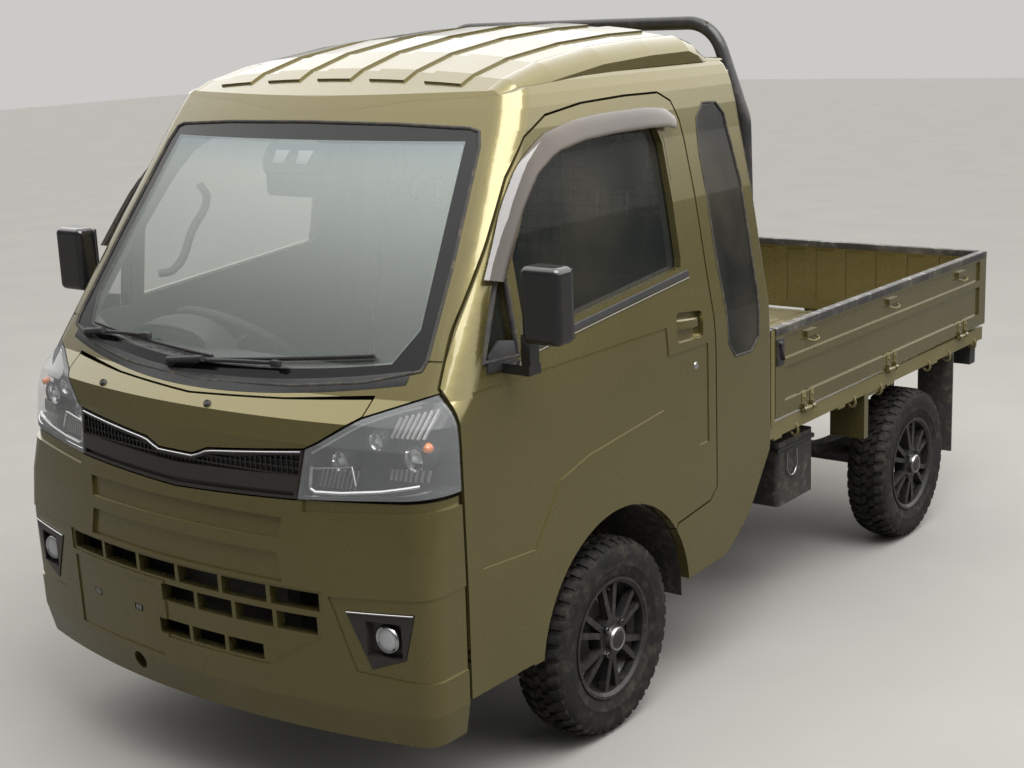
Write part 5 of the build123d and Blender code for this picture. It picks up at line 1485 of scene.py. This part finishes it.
cushion = pad_box(CUSHION_LOW, CUSHION_HIGH, 0.030, 4)
stuff(cushion, 0.013, CUSHION_LOW[2])
sew(cushion, lambda p: abs(abs(p.x - SEAT_MID) - RIM_X), 0.006, 0.009, (0, 0, 1))
for station in CROSS_SEAMS:
    sew(cushion, lambda p: abs(p.y - back(station)) + max(0, abs(p.x - SEAT_MID) - RIM_X),
        0.005, 0.006, (0, 0, 1))

rest = profile_block(BACK_OUTLINE, 0.145, 0.570, 0.026)
for vertex in rest.data.vertices:
    narrow = 1 - 0.16 * max(0, vertex.co.z - 1.0) / 0.33
    vertex.co.x = SEAT_MID + (vertex.co.x - SEAT_MID) * narrow
stuff(rest, 0.014)
sew(rest, lambda p: abs(abs(p.x - SEAT_MID) - RIM_X * (1 - 0.16 * max(0, p.z - 1.0) / 0.33)),
    0.006, 0.009, (0, -1, 0))
for height in BACK_SEAMS:
    sew(rest, lambda p: abs(p.z - height) + max(0, abs(p.x - SEAT_MID) - RIM_X), 0.005, 0.006, (0, -1, 0))

pillow = profile_block(HEAD_OUTLINE, 0.252, 0.463, 0.020)
stuff(pillow, 0.010)
sew(pillow, lambda p: abs(abs(p.x - SEAT_MID) - 0.078), 0.004, 0.005, (0, -1, 0))

posts = join([tube([(x, back(0.562), 1.300), (x, back(0.568), 1.345), (x, back(0.574), 1.402)], 0.006)
              for x in (0.305, 0.410)])
collars = join([disc((x, back(0.566), 1.326), (0, 0.1, 1), 0.014, 0.012) for x in (0.305, 0.410)])
recliner = disc((0.592, back(0.452), 0.742), (1, 0, 0), 0.052, 0.014, round_by=0.004)
lever = tube([(0.603, back(0.452), 0.742), (0.611, back(0.400), 0.756), (0.611, back(0.330), 0.760)], 0.006)
recliner = join([recliner, lever])
hull = sheet_of([(0.150, back(0.400), 0.667), (0.565, back(0.400), 0.667), (0.565, back(0.500), 0.667),
                 (0.150, back(0.500), 0.667)], 0.040, offset=1.0)
outward(hull)
SEAT_PARTS = [
    (cushion, "seat_cushion", seat_cloth, 0.55), (rest, "seat_backrest", seat_cloth, 0.55),
    (pillow, "seat_headrest", seat_cloth, 0.65), (posts, "headrest_posts", bright_steel, None),
    (collars, "headrest_collars", trim_black, None), (recliner, "seat_recliner", trim_black, None),
    (hull, "seat_hinge_cover", trim_black, None),
]
for piece, name, finish, fill in SEAT_PARTS:
    pieces = {"left": piece, "right": twin(piece)}
    for side, item in pieces.items():
        replaced = (f"seat_{side}",) if name == "seat_cushion" else ()
        fit(item, f"{name}_{side}", finish, stands_for=replaced)
print("cushion faces:", len(cushion.data.polygons), "backrest faces:", len(rest.data.polygons))

# %% [markdown]
# The inside of a door is seen when it opens. It has a moulded card, an armrest with a pull, a window winder
# and a lock handle. They lie on the door's inner face, which is found by a straight line from inside.

# %% Door trim
CARD_LINE = [(-0.520, 0.700), (-0.300, 0.700), (-0.215, 0.800), (0.225, 0.850), (0.395, 0.715),
             (0.440, 0.715), (0.440, 0.960), (0.235, 0.960), (0.215, 1.020), (-0.520, 1.020)]


def in_door(station, z, proud):
    """A point on the left door's inner face, moved into the cab by proud."""
    place, _ = touch("door_left", (0.2, back(station), z), (1, 0, 0))
    return Vector((place.x - proud, place.y, place.z))


inner_x = in_door(0.0, 0.95, 0).x
rest_x = inner_x - 0.006
card = outward(sheet_of([(rest_x, back(s), z) for s, z in CARD_LINE], 0.005, offset=1.0))
modify(card, "BEVEL", width=0.0015, segments=2)
pair(card, "door_card", dash_plastic, "door_left")

armrest = pad_box((rest_x - 0.042, back(-0.150), 0.880), (rest_x, back(0.150), 0.915), 0.012, 3)
pull = tube([(rest_x, back(-0.250), 0.935), (rest_x - 0.034, back(-0.235), 0.930),
             (rest_x - 0.034, back(-0.165), 0.905), (rest_x - 0.010, back(-0.145), 0.898)], 0.010)
pair(join([armrest, pull]), "door_armrest", trim_black, "door_left")

spindle = disc((rest_x, back(-0.290), 0.850), (-1, 0, 0), 0.019, 0.018)
crank = tube([(rest_x - 0.016, back(-0.290), 0.850), (rest_x - 0.022, back(-0.240), 0.862),
              (rest_x - 0.024, back(-0.180), 0.872)], 0.007)
knob = disc((rest_x - 0.022, back(-0.180), 0.872), (-1, 0, 0), 0.011, 0.022, round_by=0.004)
pair(join([spindle, crank, knob]), "window_winder", trim_black, "door_left")

bezel = pad_box((rest_x - 0.004, back(-0.420), 0.965), (rest_x, back(-0.320), 1.005), 0.003)
latch_pull = pad_box((rest_x - 0.016, back(-0.405), 0.975), (rest_x - 0.003, back(-0.345), 0.995), 0.004)
pair(join([bezel, latch_pull]), "door_latch_pull", trim_black, "door_left")
print("door trim at", round(inner_x, 4))

# %% [markdown]
# Last come the fittings outside that are easy to forget: the aerial's foot on the roof, the liners that
# close the front wheel wells, and the battery's lid with its wire clamp.

# %% Small fittings outside
AERIAL = (-0.42, -0.12)
roof_at, roof_up = touch("cab_shell", (AERIAL[0], back(AERIAL[1]), 2.4), (0, 0, -1))
foot = disc(roof_at - roof_up * 0.002, roof_up, 0.017, 0.012, taper=0.8, round_by=0.003)
stub = tube([roof_at + Vector((0, 0, 0.004)), roof_at + Vector((0, 0.006, 0.016)),
             roof_at + Vector((0, 0.016, 0.030))], 0.005)
fit(join([foot, stub]), "roof_aerial", trim_black)

LINER_R = 0.340
LINER_MID = (0.010, 0.285)
LINER_IN, LINER_OUT = 0.400, 0.708
around = [radians(a) for a in range(-2, 171, 6)]
rows = [[(x, back(LINER_MID[0]) + LINER_R * cos(a), LINER_MID[1] + LINER_R * sin(a)) for a in around]
        for x in (LINER_IN, LINER_OUT)]
barrel = band(rows, 0.002, 0.0)
wall = [(LINER_IN, y, z) for _, y, z in rows[0]]
barrel = join([barrel, outward(sheet_of(wall, 0.002, 0.0))])
pair(barrel, "wheel_well_liner", chassis_black)

LID_LOW, LID_HIGH = (0.466, back(1.036), 0.505), (0.644, back(1.284), 0.520)
lid = pad_box(LID_LOW, LID_HIGH, 0.004)
fit(lid, "battery_lid", trim_black)
wire = tube([(0.646, back(1.090), 0.500), (0.647, back(1.092), 0.440), (0.647, back(1.120), 0.420),
             (0.647, back(1.150), 0.440), (0.647, back(1.152), 0.500)], 0.003)
fit(wire, "battery_clamp", bright_steel)
print("aerial foot at", [round(v, 3) for v in roof_at])

# %% [markdown]
# The studio is plain: a pale matt floor and one wide soft light above. Painted and chromed surfaces show
# what is round them, so the sky that they mirror is bright overhead and behind and dark in front, and that
# change draws the body's shape. The camera itself sees one even grey, and the floor is darker in mirrors.

# %% Floor, sky and light
start()
bpy.ops.mesh.primitive_plane_add(size=60, location=(0, 0, 0))
floor = bpy.context.object
floor.name = "floor"
edit(floor)
bpy.ops.mesh.subdivide(number_cuts=4)
bpy.ops.object.mode_set(mode="OBJECT")
pale = Finish("pale_floor", Roughness=0.9)
mirrored = pale.node("ShaderNodeLightPath", out="Is Glossy Ray")
bright = pale.blend(pale.noise(2, detail=5), (0.32, 0.312, 0.295), (0.37, 0.36, 0.34))
pale.set(Base_Color=pale.blend(mirrored, bright, (0.10, 0.098, 0.092)))
cover(floor, pale.material)

world = bpy.data.worlds.new("studio_sky")
bpy.context.scene.world = world
world.use_nodes = True
sky = Graph(world.node_tree, "Generated")
height = (sky.z * 2.2).least(sky.z + sky.y * 0.75)
shade = sky.blend(height.ramp(0.05, 0.62), (0.13, 0.13, 0.13), (2.0, 1.98, 1.93))
mirrored_sky = sky.node("ShaderNodeBackground", values={"Color": shade, "Strength": 0.85})
seen_sky = sky.node("ShaderNodeBackground", values={"Color": (0.60, 0.59, 0.575)})
from_camera = sky.node("ShaderNodeLightPath", out="Is Camera Ray")
both = sky.node("ShaderNodeMixShader", values={0: from_camera, 1: mirrored_sky, 2: seen_sky})
sky.plug(sky.tree.nodes["World Output"].inputs["Surface"], both)

bpy.ops.object.light_add(type="AREA", location=(2.4, -1.2, 5.4))
lamp = bpy.context.object
lamp.name = "soft_light"
lamp.data.shape = "RECTANGLE"
lamp.data.size = 4.5
lamp.data.size_y = 3.5
lamp.data.energy = 260
lamp.rotation_euler = (Vector((0, 0, 0.6)) - lamp.location).to_track_quat("-Z", "Y").to_euler()
bpy.context.scene.view_settings.view_transform = "Standard"
print("studio ready")

# %% [markdown]
# At the end, edit mode is left, nothing is selected and the scene is brought up to date. The dressed
# vehicle must stay inside the frame's own box.

# %% Finish
start()
bpy.context.view_layer.update()
